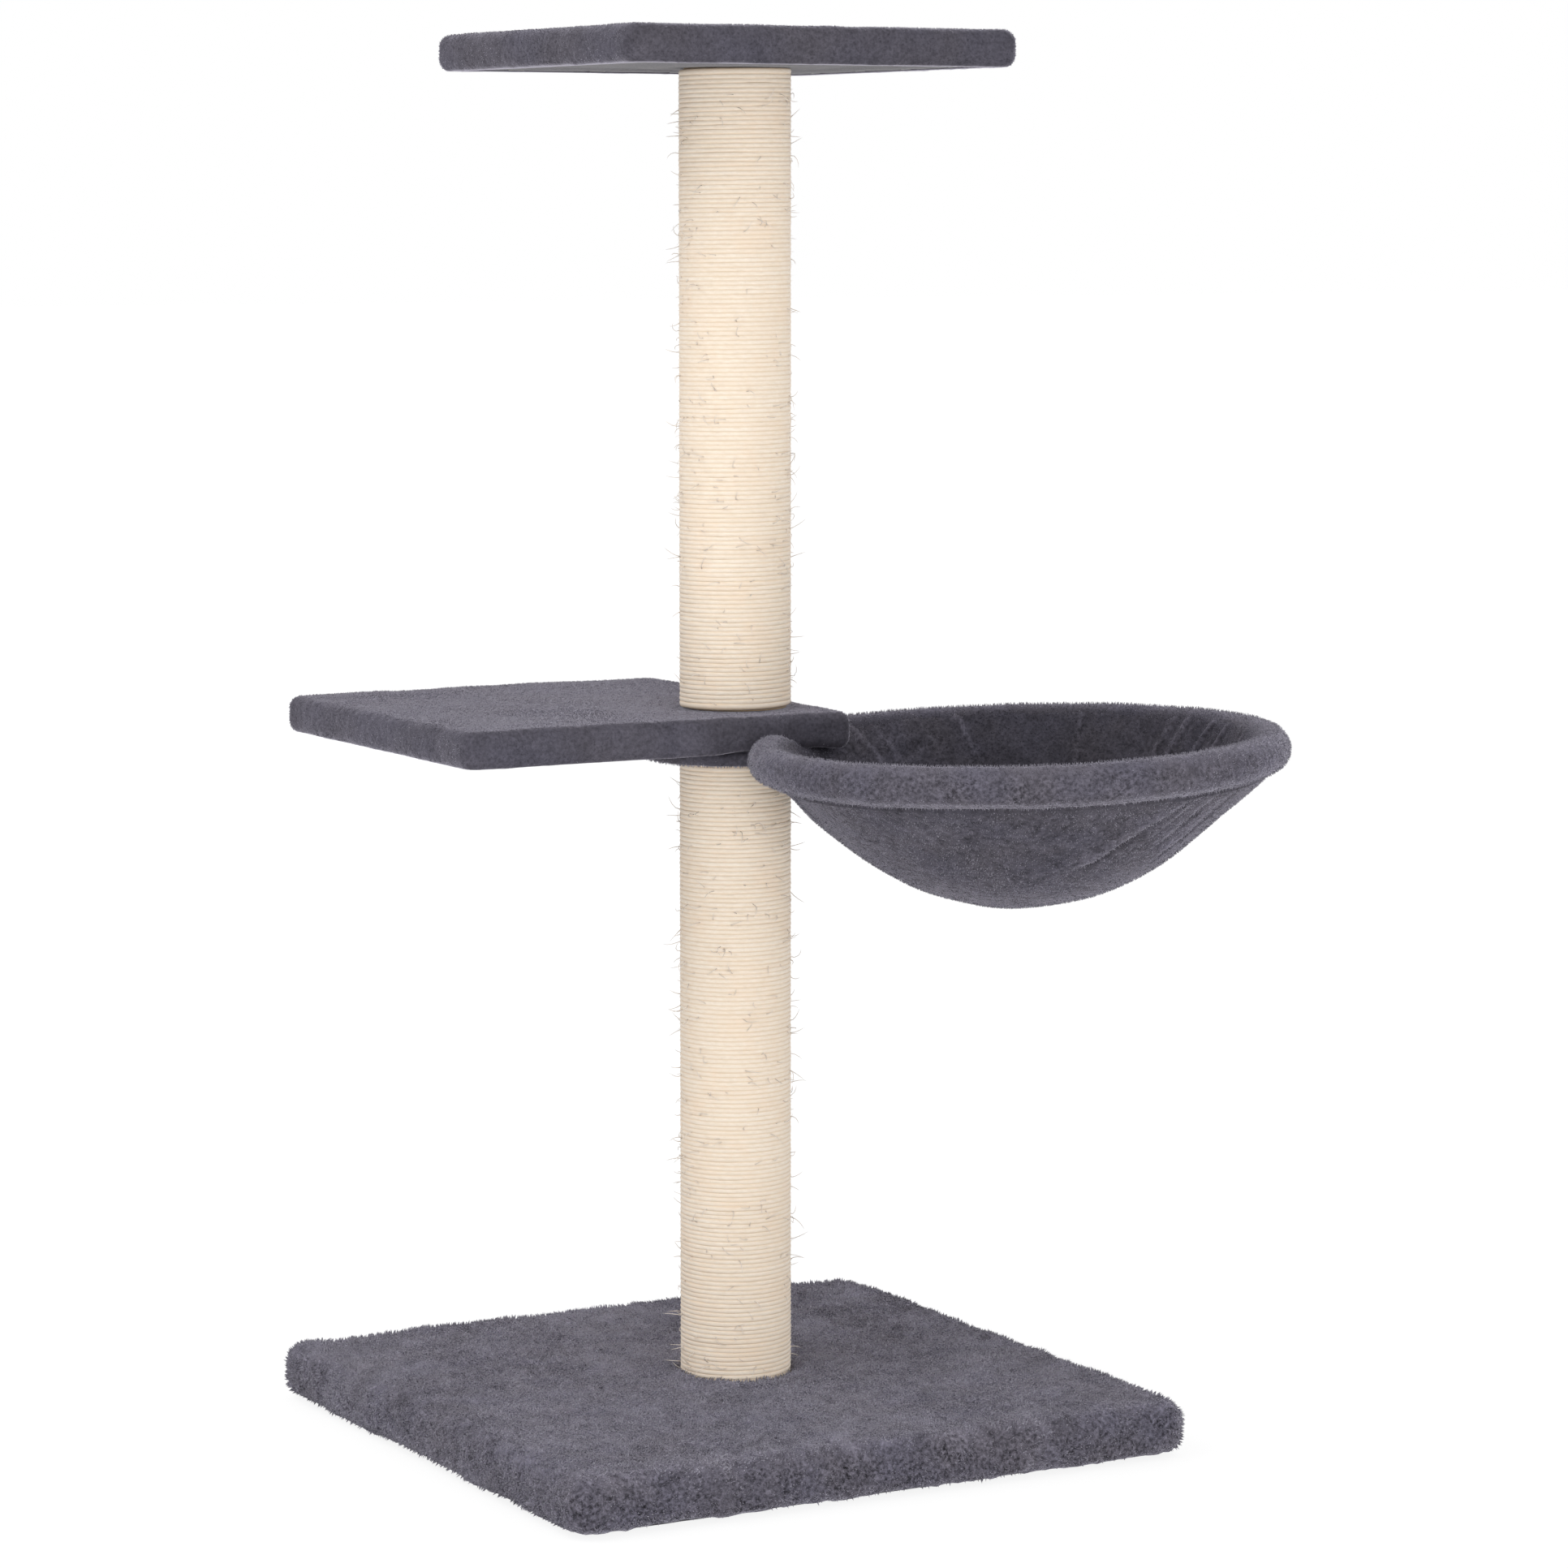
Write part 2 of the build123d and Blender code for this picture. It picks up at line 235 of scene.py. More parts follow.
def move_to(piece, points):
    """Puts a piece's vertices at new points."""
    piece.data.vertices.foreach_set("co", points.astype(np.float32).ravel())
    piece.data.update()


def displace(piece, amount):
    """Moves each vertex of a piece along its normal."""
    normals = read_points(piece.data, "vertex_normals", "vector")
    move_to(piece, read_points(piece.data) + normals * amount[:, None])


# ---- square cushions ----


SKIN_GAP = 0.2 * MM  # between a cover and its board
HEM_THICK = 0.6 * MM
HEM_FOLD = 2 * MM  # how far in from the hem's edge its inside starts
HEM_RISE = 4 * MM  # how far in from the board's edge the hem's inside meets the board


def square_loop(half, corner, share):
    """Points on a rounded square, at shares of its length from the middle of its +X side."""
    straight = half - corner
    arc = TURN / 4 * corner
    quarter = 2 * straight + arc
    turns = np.floor(share * 4)
    along = (share * 4 - turns) * quarter
    angle = np.clip((along - straight) / corner, 0, TURN / 4)
    x = straight + corner * np.cos(angle) - np.maximum(along - straight - arc, 0)
    y = np.minimum(along, straight) + corner * np.sin(angle)
    turned = turns * TURN / 4
    cos, sin = np.cos(turned), np.sin(turned)
    return np.stack([x * cos - y * sin, x * sin + y * cos], -1)


def square_share(x, y):
    """Where the ray to (x, y) meets a sharp square, as a share of its length, as square_loop counts."""
    reach = np.maximum(np.maximum(abs(x), abs(y)), 1e-9)
    across, up = x / reach, y / reach
    right = (across >= 1) & (up < 1)
    top = (up >= 1) & (across > -1)
    left = (across <= -1) & (up > -1)
    share = np.select([right, top, left], [up, 2 - across, 4 - up], 6 + across) / 8
    return share % 1


def square_grid(count, half, corner):
    """Points (n, 2) of a grid of count x count quads over a rounded square, row by row."""
    line = np.arange(count + 1) - count // 2
    column, row = np.meshgrid(line, line)
    share = square_share(column.astype(float), row.astype(float)).ravel()
    reach = (np.maximum(abs(column), abs(row)) / (count / 2)).ravel()
    return square_loop(half, corner, share) * reach[:, None]


def square_border(count):
    """The border points of such a grid in turn, from the middle of its +X side."""
    index = np.arange((count + 1) ** 2).reshape(count + 1, count + 1)
    middle = count // 2
    return np.concatenate([
        index[middle:-1, -1], index[-1, -1:0:-1], index[-1:0:-1, 0], index[0, :-1], index[:middle, -1],
    ])


def wall_profile(block, margin):
    """(inset, height) from the flat top over the edge, down the side and in under the bottom."""

    def shares(length):
        """The shares of a length at which its points lie."""
        count = max(2, round(length / block.wall_step))
        return np.arange(1, count + 1) / count

    low, high = block.foot + block.bottom_edge, block.top - block.top_edge
    over = TURN / 4 * shares(TURN / 4 * block.top_edge)
    down = shares(high - low)
    under = TURN / 4 * shares(TURN / 4 * block.bottom_edge)
    inward = shares(margin - block.bottom_edge)
    profile = [
        (block.top_edge * (1 - np.sin(over)), block.top - block.top_edge * (1 - np.cos(over))),
        (0 * down, high + (low - high) * down),
        (block.bottom_edge * (1 - np.cos(under)), low - block.bottom_edge * np.sin(under)),
        (block.bottom_edge + (margin - block.bottom_edge) * inward, 0 * inward + block.foot),
    ]
    return np.concatenate([np.column_stack(pair) for pair in profile])


def skin_mesh(block, margin):
    """Points and faces of a closed plush shell round a board, and which points are its outside."""
    count = block.grid
    top = square_grid(count, block.half - block.top_edge, max(block.corner - block.top_edge, MM))
    points = [np.column_stack([top, np.full(len(top), block.top)])]
    ring_share = np.arange(4 * count) / (4 * count)
    outer_profile = wall_profile(block, margin)
    to_board = block.half - block.board_half
    inner_profile = [
        (margin + HEM_FOLD, block.foot + HEM_THICK),
        (to_board + HEM_RISE, block.board_foot - SKIN_GAP),
        (to_board - SKIN_GAP, block.board_foot - SKIN_GAP),
        (to_board - SKIN_GAP, block.board_top + SKIN_GAP),
    ]
    rings = [square_border(count)]
    for inset, height in [*outer_profile, *inner_profile]:
        ring = square_loop(block.half - inset, max(block.corner - inset, MM), ring_share)
        rings.append(sum(len(part) for part in points) + np.arange(4 * count))
        points.append(np.column_stack([ring, np.full(len(ring), height)]))

    walls = []
    for upper, lower in zip(rings, rings[1:]):
        walls.append(np.stack([upper, lower, np.roll(lower, -1), np.roll(upper, -1)], -1))
    points = np.concatenate(points)
    outside = np.arange(len(points)) < len(points) - 4 * count * len(inner_profile)
    points[:, :2] += block.centre
    lid = rings[-1][None, ::-1]
    return points, [grid_faces(count + 1, count + 1), np.concatenate(walls), lid], outside


# ---- pile ----


@dataclass
class Plush:
    """A pile cloth: its material, a slot name that nothing reads, and how its tufts stand."""

    material: object
    slot: str
    spacing: float
    length: float
    width: float
    lean: float  # how far whole patches of it lie over
    curl: float  # how unlike neighbouring tufts lean
    facet: float  # how far a tuft's sides face their own way


CURL_SIZE = 4 * MM  # across a lock of tufts that curl the same way
LEAN_SIZE = 32 * MM  # across a patch that lies over the same way
TUFT_LENGTHS = (0.7, 1.15)  # shares of the pile's length
TUFT_WIDTHS = (0.75, 1.25)
TUFT_ROOT = 0.25  # how deep a tuft's foot is sunk, as a share of the pile's length


def quads_within(faces, kept):
    """The quads whose corners are all kept."""
    return faces[kept[faces].all(axis=1)]


def give(piece, name, values):
    """A value for each point of a piece, which its material reads by name."""
    piece.data.attributes.new(name, "FLOAT", "POINT").data.foreach_set("value", values.astype(np.float32))


def scatter(piece, faces, spacing, seed):
    """Even but irregular points on chosen quads of a piece, with their normals and shades."""
    mesh = piece.data
    points = read_points(mesh)
    normals = read_points(mesh, "vertex_normals", "vector")
    shades = np.empty(len(points), np.float32)
    mesh.attributes["shade"].data.foreach_get("value", shades)
    corners = points[faces]
    diagonals = corners[:, 2] - corners[:, 0], corners[:, 3] - corners[:, 1]
    area = np.linalg.norm(np.cross(*diagonals), axis=1) / 2
    reach = np.cumsum(area)
    count = int(reach[-1] / spacing**2)
    random = np.random.default_rng(seed)
    sought = (np.arange(count) + random.random(count)) / count * reach[-1]
    quads = faces[np.minimum(np.searchsorted(reach, sought), len(faces) - 1)]
    across, up = random.random((2, count, 1))
    weights = [(1 - across) * (1 - up), across * (1 - up), across * up, (1 - across) * up]
    place = sum(weight * points[quads[:, k]] for k, weight in enumerate(weights))
    normal = unit(sum(weight * normals[quads[:, k]] for k, weight in enumerate(weights)))
    shade = sum(weight[:, 0] * shades[quads[:, k]] for k, weight in enumerate(weights))
    return place, normal, shade


def add_tufts(name, body, plush, roots, normals, shades, seed):
    """Slim pointed tufts at roots, each leaning with its neighbours, as one mesh."""
    random = np.random.default_rng(seed)
    count = len(roots)
    nap = plush.curl * noise_vector(roots, CURL_SIZE, seed)
    nap += plush.lean * noise_vector(roots, LEAN_SIZE, seed + 3)
    nap -= normals * np.sum(nap * normals, axis=1, keepdims=True)
    axis = unit(normals + nap)
    length = plush.length * random.uniform(*TUFT_LENGTHS, count)
    across = unit(np.cross(axis, random.normal(size=(count, 3))))
    along = np.cross(axis, across)
    width = plush.width * random.uniform(*TUFT_WIDTHS, count)
    sunk = roots - normals * (TUFT_ROOT * plush.length)
    points = np.empty((count, 4, 3))
    for corner in range(3):
        angle = TURN / 3 * corner
        spread = np.cos(angle) * across + np.sin(angle) * along
        points[:, corner] = sunk + spread * (width / 2)[:, None]
    points[:, 3] = roots + axis * length[:, None]
    first = 4 * np.arange(count)[:, None]
    sides = [0, 1, 3], [1, 2, 3], [2, 0, 3], [2, 1, 0]
    faces = np.concatenate([first + corners for corners in sides])
    tufts = add_piece(name, body, points.reshape(-1, 3), [faces], plush.material)
    give(tufts, "tip", np.tile([0.0, 0.0, 0.0, 1.0], count))
    give(tufts, "shade", np.repeat(shades, 4))
    axes = np.repeat(axis, 4, axis=0)
    facing = points.reshape(-1, 3) - np.repeat(sunk + axis * (length / 2)[:, None], 4, axis=0)
    facing = unit(facing - np.sum(facing * axes, axis=1, keepdims=True) * axes)
    tufts.data.normals_split_custom_set_from_vertices(unit(axes + plush.facet * facing))
    return tufts


def add_pile(name, body, plush, piece, quads, seeds, open_air=None):
    """A pile on chosen quads of a piece. seeds are that of the roots and that of the tufts, and
    open_air(roots), if it is given, says which roots are free."""
    roots, normals, shades = scatter(piece, quads, plush.spacing, seeds[0])
    if open_air is not None:
        free = open_air(roots)
        roots, normals, shades = roots[free], normals[free], shades[free]
    return add_tufts(name, body, plush, roots, normals, shades, seeds[1])


# ---- materials ----


def rgb(red, green, blue):
    """A colour as the nodes take it."""
    return (red, green, blue, 1.0)


def grey(value):
    """A neutral colour."""
    return rgb(value, value, value)


def tinted(colour, factor):
    """A colour made lighter or darker."""
    return rgb(*(channel * factor for channel in colour[:3]))


class Nodes:
    """A short way to build the node tree of a material or a world."""

    def __init__(self, owner):
        owner.use_nodes = True
        self.tree = owner.node_tree

    @cached_property
    def place(self):
        """The place on the object, by which the patterns are laid out."""
        return self.add("ShaderNodeTexCoord").outputs["Object"]

    def add(self, kind, inputs=None, **settings):
        """A node with its settings and inputs. An input is a number, a colour or a socket."""
        node = self.tree.nodes.new(kind)
        for key, value in settings.items():
            setattr(node, key, value)
        self.fill(node, inputs or {})
        return node

    def fill(self, node, inputs):
        """Sets or links a node's inputs."""
        for key, value in inputs.items():
            if isinstance(value, bpy.types.NodeSocket):
                self.tree.links.new(value, node.inputs[key])
            else:
                node.inputs[key].default_value = value

    def noise(self, size, detail=2.0, roughness=0.5, distortion=0.0, place=None):
        """Noise from 0 to 1 with forms about size metres across."""
        return self.add("ShaderNodeTexNoise", {
            "Vector": place or self.place, "Scale": 1 / size, "Detail": detail,
            "Roughness": roughness, "Distortion": distortion,
        }).outputs["Fac"]

    def ramp(self, value, low, high, start=0.0, end=1.0):
        """A value's range from low to high spread over start to end."""
        return self.add("ShaderNodeMapRange", {
            "Value": value, "From Min": low, "From Max": high, "To Min": start, "To Max": end,
        }).outputs["Result"]

    def mix(self, share, first, second, blend="MIX"):
        """Two colours mixed by a share."""
        node = self.add("ShaderNodeMix", data_type="RGBA", blend_type=blend)
        self.fill(node, {0: share, 6: first, 7: second})
        return node.outputs[2]

    def two_tone(self, noise, first, second, most=1.0):
        """Two colours mixed by a noise: the first in its lows, up to most of the second in its highs."""
        return self.mix(self.ramp(noise, 0.3, 0.7, 0.0, most), first, second)

    def lit(self, colour, share, low, high):
        """A colour made darker or lighter: times low where a share is 0, times high where it is 1."""
        return self.mix(1.0, colour, self.mix(share, grey(low), grey(high)), "MULTIPLY")

    def math(self, operation, first, second=0.0):
        """The result of one operation."""
        return self.add("ShaderNodeMath", {0: first, 1: second}, operation=operation).outputs[0]

    def times(self, first, second):
        """Two values multiplied."""
        return self.math("MULTIPLY", first, second)

    def combined(self, x, y=0.0):
        """A vector of two values."""
        return self.add("ShaderNodeCombineXYZ", {"X": x, "Y": y}).outputs["Vector"]

    def bump(self, height, depth, strength):
        """A normal bent by a height from 0 to 1 that is depth metres deep."""
        return self.add("ShaderNodeBump", {
            "Height": height, "Distance": depth, "Strength": strength,
        }).outputs["Normal"]

    def attribute(self, name):
        """A value that the points of the mesh carry."""
        return self.add("ShaderNodeAttribute", attribute_name=name).outputs["Fac"]

    def seen(self):
        """1 for rays that show a thing to the camera, straight or by way of gloss or glass."""
        path = self.add("ShaderNodeLightPath")
        direct = self.math("MAXIMUM", path.outputs["Is Camera Ray"], path.outputs["Is Glossy Ray"])
        return self.math("MAXIMUM", direct, path.outputs["Is Transmission Ray"])


def new_material(name, look, *choices):
    """A material whose shader gets the inputs that look(nodes, *choices) returns."""
    material = bpy.data.materials.new(name)
    nodes = Nodes(material)
    nodes.fill(nodes.tree.nodes["Principled BSDF"], look(nodes, *choices))
    return material


PLUSH = rgb(0.114, 0.108, 0.139)
WARMER = (1.04, 1.02, 0.96)  # what the warm patches of a plush do to its colour
SHEEN = rgb(0.74, 0.71, 0.83)
SIDE_UP, TOP_UP = 0.35, 0.8  # how far normals point up where the look of a side turns into a top's


@dataclass
class PlushLook:
    """How a plush looks. A pair is for its top and for its sides."""

    tone: float  # times the plush's colour
    mottle: float  # size of the cloudy patches, where the pile lies differently
    grain: float  # size of the specks
    contrast: tuple  # how far the cloudy patches differ
    pit_shade: tuple  # how dark the painted shade in the gaps of the pile is
    depth: float
    sheen: float  # times the sheen's colour
    tips: float  # how much lighter the tufts' tips are: painted light on them, above the shade deeper in the pile


def plush_cloth(nodes, look):
    """Dark grey plush: soft mottles where the pile lies differently and a fine grain, with painted shade in
    the pile's gaps, painted light on the tufts' tips and the painted shade and light that its points carry.
    """
    colour = tinted(PLUSH, look.tone)
    warm = rgb(*(channel * factor for channel, factor in zip(colour, WARMER)))
    geometry = nodes.add("ShaderNodeNewGeometry")
    upward = nodes.add("ShaderNodeSeparateXYZ", {"Vector": geometry.outputs["Normal"]}).outputs["Z"]

    def by_side(pair):
        """The first value on top, the second on the sides."""
        return nodes.ramp(upward, SIDE_UP, TOP_UP, pair[1], pair[0])

    cloud = nodes.noise(look.mottle, 5.0, 0.68, distortion=1.4)
    speck = nodes.noise(look.grain, 3.0, 0.65)
    body = nodes.mix(nodes.ramp(nodes.noise(1.7 * look.mottle), 0.35, 0.65), colour, warm)
    swing = nodes.times(nodes.ramp(cloud, 0.3, 0.7, -1.0, 1.0), by_side(look.contrast))
    body = nodes.lit(body, nodes.ramp(swing, -1.0, 1.0), 0.0, 2.0)
    # painted shade in the gaps of the pile, as dark specks, fainter where the points carry deep painted
    # shade
    shade = nodes.attribute("shade")
    calm = nodes.ramp(shade, 0.0, 0.6, 1.0, 0.35)
    patch = nodes.ramp(nodes.noise(0.6 * look.mottle), 0.35, 0.65, 0.75, 1.1)
    gap = nodes.times(by_side(look.pit_shade), nodes.times(patch, calm))
    darkened = nodes.lit(body, nodes.ramp(speck, 0.35, 0.65), 0.0, 1.0)
    body = nodes.mix(gap, body, darkened)
    # painted light on the tufts' tips
    body = nodes.lit(body, nodes.attribute("tip"), 1.0, look.tips)
    # the painted shade and painted light that the points carry
    body = nodes.lit(body, nodes.ramp(shade, -1.0, 1.0), 1.6, 0.4)
    return {
        "Base Color": body, "Roughness": 0.95, "Specular IOR Level": 0.1, "Sheen Weight": 0.9,
        "Sheen Roughness": 0.3, "Sheen Tint": tinted(SHEEN, look.sheen),
        "Normal": nodes.bump(speck, look.depth, 0.8),
    }


def sisal(nodes):
    """Pale sisal: fine fibres along each turn, turns of uneven tone, and painted shade, warm brown, in the
    grooves between them.
    """
    uv = nodes.add("ShaderNodeTexCoord").outputs["UV"]
    split = nodes.add("ShaderNodeSeparateXYZ", {"Vector": uv})
    along, around = split.outputs["X"], split.outputs["Y"]
    slanted = nodes.math("ADD", nodes.times(along, 45.0), nodes.times(around, 5.0))
    fibre_place = nodes.combined(nodes.times(along, 190.0), slanted)
    fibre = nodes.noise(1.0, 3.0, 0.6, place=fibre_place)
    turn = nodes.noise(1.0, place=nodes.combined(nodes.times(along, 14.0)))
    body = nodes.two_tone(fibre, rgb(0.80, 0.692, 0.568), rgb(0.89, 0.796, 0.688))
    body = nodes.mix(nodes.ramp(turn, 0.35, 0.65, 0.0, 0.35), body, rgb(0.80, 0.65, 0.50))
    stain = nodes.noise(26 * MM, 3.0, 0.6)
    body = nodes.mix(nodes.ramp(stain, 0.5, 0.75, 0.0, 0.45), body, rgb(0.86, 0.68, 0.52))
    # painted shade, warm brown, in the grooves between the turns
    aside = nodes.math("ABSOLUTE", nodes.math("SINE", nodes.times(around, TURN)))
    body = nodes.mix(nodes.ramp(aside, 0.3, 0.6, 0.0, 0.66), body, rgb(0.72, 0.55, 0.38))
    return {
        "Base Color": body, "Roughness": 0.85, "Specular IOR Level": 0.25, "Sheen Weight": 0.15,
        "Sheen Roughness": 0.5, "Normal": nodes.bump(fibre, 0.2 * MM, 0.6),
    }


def wisp(nodes):
    """Loose sisal fibres in two tones, mixed by a fine noise."""
    speck = nodes.noise(3 * MM)
    return {
        "Base Color": nodes.two_tone(speck, rgb(0.67, 0.595, 0.53), rgb(0.81, 0.73, 0.65)),
        "Roughness": 0.6, "Sheen Weight": 0.2, "Normal": nodes.bump(speck, 0.1 * MM, 0.4),
    }


def felt(nodes):
    """Grey needle felt: a soft nap with short light and dark fibres."""
    fibre = nodes.noise(1.2 * MM, 4.0, 0.7, distortion=1.5)
    body = nodes.two_tone(fibre, rgb(0.12, 0.116, 0.131), rgb(0.225, 0.221, 0.24))
    body = nodes.two_tone(nodes.noise(14 * MM), body, rgb(0.15, 0.146, 0.161), 0.3)
    return {
        "Base Color": body, "Roughness": 0.95, "Specular IOR Level": 0.2, "Sheen Weight": 0.15,
        "Normal": nodes.bump(fibre, 0.5 * MM, 0.7),
    }


def fibreboard(nodes):
    """Raw fibreboard: pressed flecks of wood."""
    fleck = nodes.noise(4 * MM, 4.0, 0.7, distortion=1.0)
    return {
        "Base Color": nodes.two_tone(fleck, rgb(0.42, 0.28, 0.16), rgb(0.62, 0.46, 0.30)),
        "Roughness": 0.85, "Normal": nodes.bump(fleck, 0.2 * MM, 0.6),
    }


def softwood(nodes):
    """Turned softwood plugs: growth rings and fine pores."""
    rings = nodes.add("ShaderNodeTexWave", {
        "Vector": nodes.place, "Scale": 90.0, "Distortion": 3.0, "Detail": 2.0, "Detail Scale": 1.5,
    }, wave_type="RINGS").outputs["Fac"]
    pores = nodes.noise(1.5 * MM, 3.0, 0.7)
    body = nodes.mix(rings, rgb(0.74, 0.56, 0.36), rgb(0.55, 0.37, 0.20))
    return {
        "Base Color": nodes.two_tone(pores, body, rgb(0.45, 0.30, 0.17), 0.3),
        "Roughness": 0.7, "Normal": nodes.bump(pores, 0.15 * MM, 0.5),
    }


def cardboard(nodes):
    """Brown paperboard wound in a spiral."""
    fibre = nodes.noise(2 * MM, 4.0, 0.7)
    bands = nodes.add("ShaderNodeTexWave", {
        "Vector": nodes.place, "Scale": 4.0, "Distortion": 1.0,
    }, bands_direction="DIAGONAL").outputs["Fac"]
    body = nodes.two_tone(fibre, rgb(0.40, 0.28, 0.17), rgb(0.52, 0.39, 0.26))
    return {
        "Base Color": nodes.mix(nodes.ramp(bands, 0.85, 1.0, 0.0, 0.5), body, rgb(0.30, 0.20, 0.12)),
        "Roughness": 0.85, "Normal": nodes.bump(fibre, 0.15 * MM, 0.5),
    }


def zinc_steel(nodes):
    """Zinc-plated steel with fine scratches and a faint bluish mottle."""
    scratch = nodes.noise(0.6 * MM, 4.0, 0.7, distortion=2.0)
    cloud = nodes.noise(3 * MM, 3.0, 0.6)
    return {
        "Base Color": nodes.two_tone(cloud, rgb(0.56, 0.57, 0.58), rgb(0.70, 0.70, 0.67)),
        "Metallic": 1.0, "Roughness": nodes.ramp(scratch, 0.2, 0.8, 0.25, 0.45),
        "Normal": nodes.bump(scratch, 0.03 * MM, 0.4),
    }


def powder_coat(nodes):
    """Black powder coat with its orange-peel surface."""
    peel = nodes.noise(0.9 * MM)
    return {
        "Base Color": nodes.two_tone(nodes.noise(12 * MM), rgb(0.03, 0.03, 0.033), rgb(0.06, 0.06, 0.065)),
        "Roughness": nodes.ramp(peel, 0.2, 0.8, 0.35, 0.55), "Normal": nodes.bump(peel, 0.08 * MM, 0.6),
    }


SHORT_PLUSH_MATERIAL = new_material("short_plush", plush_cloth, PlushLook(
    tone=0.82, mottle=32 * MM, grain=2.4 * MM, contrast=(0.2, 0.2), pit_shade=(0.38, 0.36), depth=0.5 * MM,
    sheen=0.98, tips=1.08,
))
LONG_PLUSH = Plush(
    new_material("long_plush", plush_cloth, PlushLook(
        tone=1.6, mottle=21 * MM, grain=2.3 * MM, contrast=(0.62, 0.16), pit_shade=(0.42, 0.82), depth=1.8 * MM,
        sheen=1.03, tips=1.2,
    )),
    "long_plush",
    spacing=1.95 * MM, length=2.8 * MM, width=1.8 * MM, lean=0.7, curl=0.6, facet=0.45,
)
SHORT_PLUSH = Plush(
    SHORT_PLUSH_MATERIAL, "short_plush",
    spacing=1.6 * MM, length=0.8 * MM, width=0.9 * MM, lean=0.25, curl=0.15, facet=0.05,
)
POUCH_PLUSH = Plush(
    SHORT_PLUSH_MATERIAL, "short_plush",
    spacing=1.7 * MM, length=1.5 * MM, width=0.8 * MM, lean=0.35, curl=0.5, facet=0.15,
)
RIM_PLUSH = Plush(
    new_material("rim_plush", plush_cloth, PlushLook(
        tone=1.2, mottle=22 * MM, grain=2.3 * MM, contrast=(0.16, 0.16), pit_shade=(0.3, 0.66), depth=0.9 * MM,
        sheen=0.98, tips=1.25,
    )),
    "short_plush",
    spacing=1.6 * MM, length=1.8 * MM, width=0.85 * MM, lean=0.3, curl=0.5, facet=0.3,
)
BOWL_PLUSH = Plush(
    new_material("bowl_plush", plush_cloth, PlushLook(
        tone=0.86, mottle=16 * MM, grain=2.8 * MM, contrast=(0.3, 0.3), pit_shade=(0.24, 0.62), depth=0.9 * MM,
        sheen=0.82, tips=1.18,
    )),
    "bowl_plush",
    spacing=1.6 * MM, length=1.3 * MM, width=0.8 * MM, lean=0.3, curl=0.3, facet=0.15,
)
SISAL = new_material("sisal", sisal)
WISP = new_material("sisal_wisp", wisp)
FELT = new_material("needle_felt", felt)

# ---- plush covers ----

COVER_MARGIN = 14 * MM  # from the cover's side to the felt's edge
POST_CONTACT = ROPE_RADIUS + 0.5 * MM
POST_CLEAR = 0.6 * MM  # from there to the nearest tuft
UNDER_DEPTH = 0.3 * MM  # how far in the skin lies below, so that nothing gets under the cover's foot
SAG_FADE = 10 * MM  # over this much beyond the bracket the hem comes to hang freely
COLLAR_REACH, COLLAR_WIDTH = 3 * MM, 6 * MM  # the swell round a post's foot: where, and how broad
PRESSED = -1.5 * MM, 2.5 * MM  # round a post's foot: where it stops pressing the cover, and how soon
POST_SHADE = 0.9
POST_SHADED = 1 * MM, 4 * MM


@dataclass
class Cover:
    """How a plush lies over its board."""

    plush: Plush
    seed: int
    sunk: tuple  # how far the skin lies in on top and on the sides, below its pile
    lumps: list  # (size, height) of its unevenness
    pile_foot: float  # how far above the cover's foot the pile starts
    post_height: float = None  # where a post's foot presses it down to
    collar: float = 0.0  # how high it swells round the post's foot


def skin_relief(block, cover, points, upward):
    """How far the skin lies out from its plain form at each point."""
    relief = -(cover.sunk[0] * upward + cover.sunk[1] * (1 - upward))
    for index, (size, height) in enumerate(cover.lumps):
        relief += height * noise(points, size, cover.seed + 10 + index)
    resting = points[:, 2] < block.foot + UNDER_DEPTH
    return np.where(resting, np.minimum(relief, -UNDER_DEPTH), relief)


def hem_sag(block, points):
    """How far the cover hangs down at each point, where no bracket carries it."""
    side_top = block.top - block.top_edge
    low = smooth((side_top - points[:, 2]) / (side_top - block.foot))
    free = fade(reach_of(points), BRACKET_RADIUS, SAG_FADE)
    return block.sag * low * free


def pressed_heights(cover, placed, on_top):
    """The heights of a skin's points with a post's foot on its top."""
    distance = reach_of(placed) - POST_CONTACT
    height = placed[:, 2] + cover.collar * bell((distance - COLLAR_REACH) / COLLAR_WIDTH) * on_top
    share = (1 - fade(distance, *PRESSED)) * on_top
    return height + (np.minimum(cover.post_height, height) - height) * share


def clear_of_post(roots):
    """Which roots lie outside a post's foot."""
    return reach_of(roots) - POST_CONTACT > POST_CLEAR


def plush_cover(block, cover):
    """A cushion's skin, and the piles on its top and its sides."""
    points, groups, outside = skin_mesh(block, COVER_MARGIN)
    plush = cover.plush
    skin = add_piece(f"{block.name}_plush", block.body, points, groups, plush.material)
    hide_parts(f"{block.name}_cover")
    upward = np.clip(read_points(skin.data, "vertex_normals", "vector")[:, 2], 0, 1)
    displace(skin, np.where(outside, skin_relief(block, cover, points, upward), 0))
    placed = read_points(skin.data)
    placed[:, 2] -= hem_sag(block, points) * outside
    shade = np.zeros(len(points))
    open_air = None
    if cover.post_height is not None:
        placed[:, 2] = pressed_heights(cover, placed, outside & (points[:, 2] > block.top - MM))
        distance = reach_of(placed) - POST_CONTACT
        shade = POST_SHADE * (1 - fade(distance, *POST_SHADED))
        open_air = clear_of_post
    move_to(skin, placed)
    give(skin, "shade", shade)
    covered = outside & (points[:, 2] > block.foot + cover.pile_foot)
    piles = [
        add_pile(f"{block.name}_{part}_pile", block.body, plush, skin, quads_within(quads, covered),
                 (cover.seed, cover.seed), open_air)
        for part, quads in (("top", groups[0]), ("side", groups[1]))
    ]


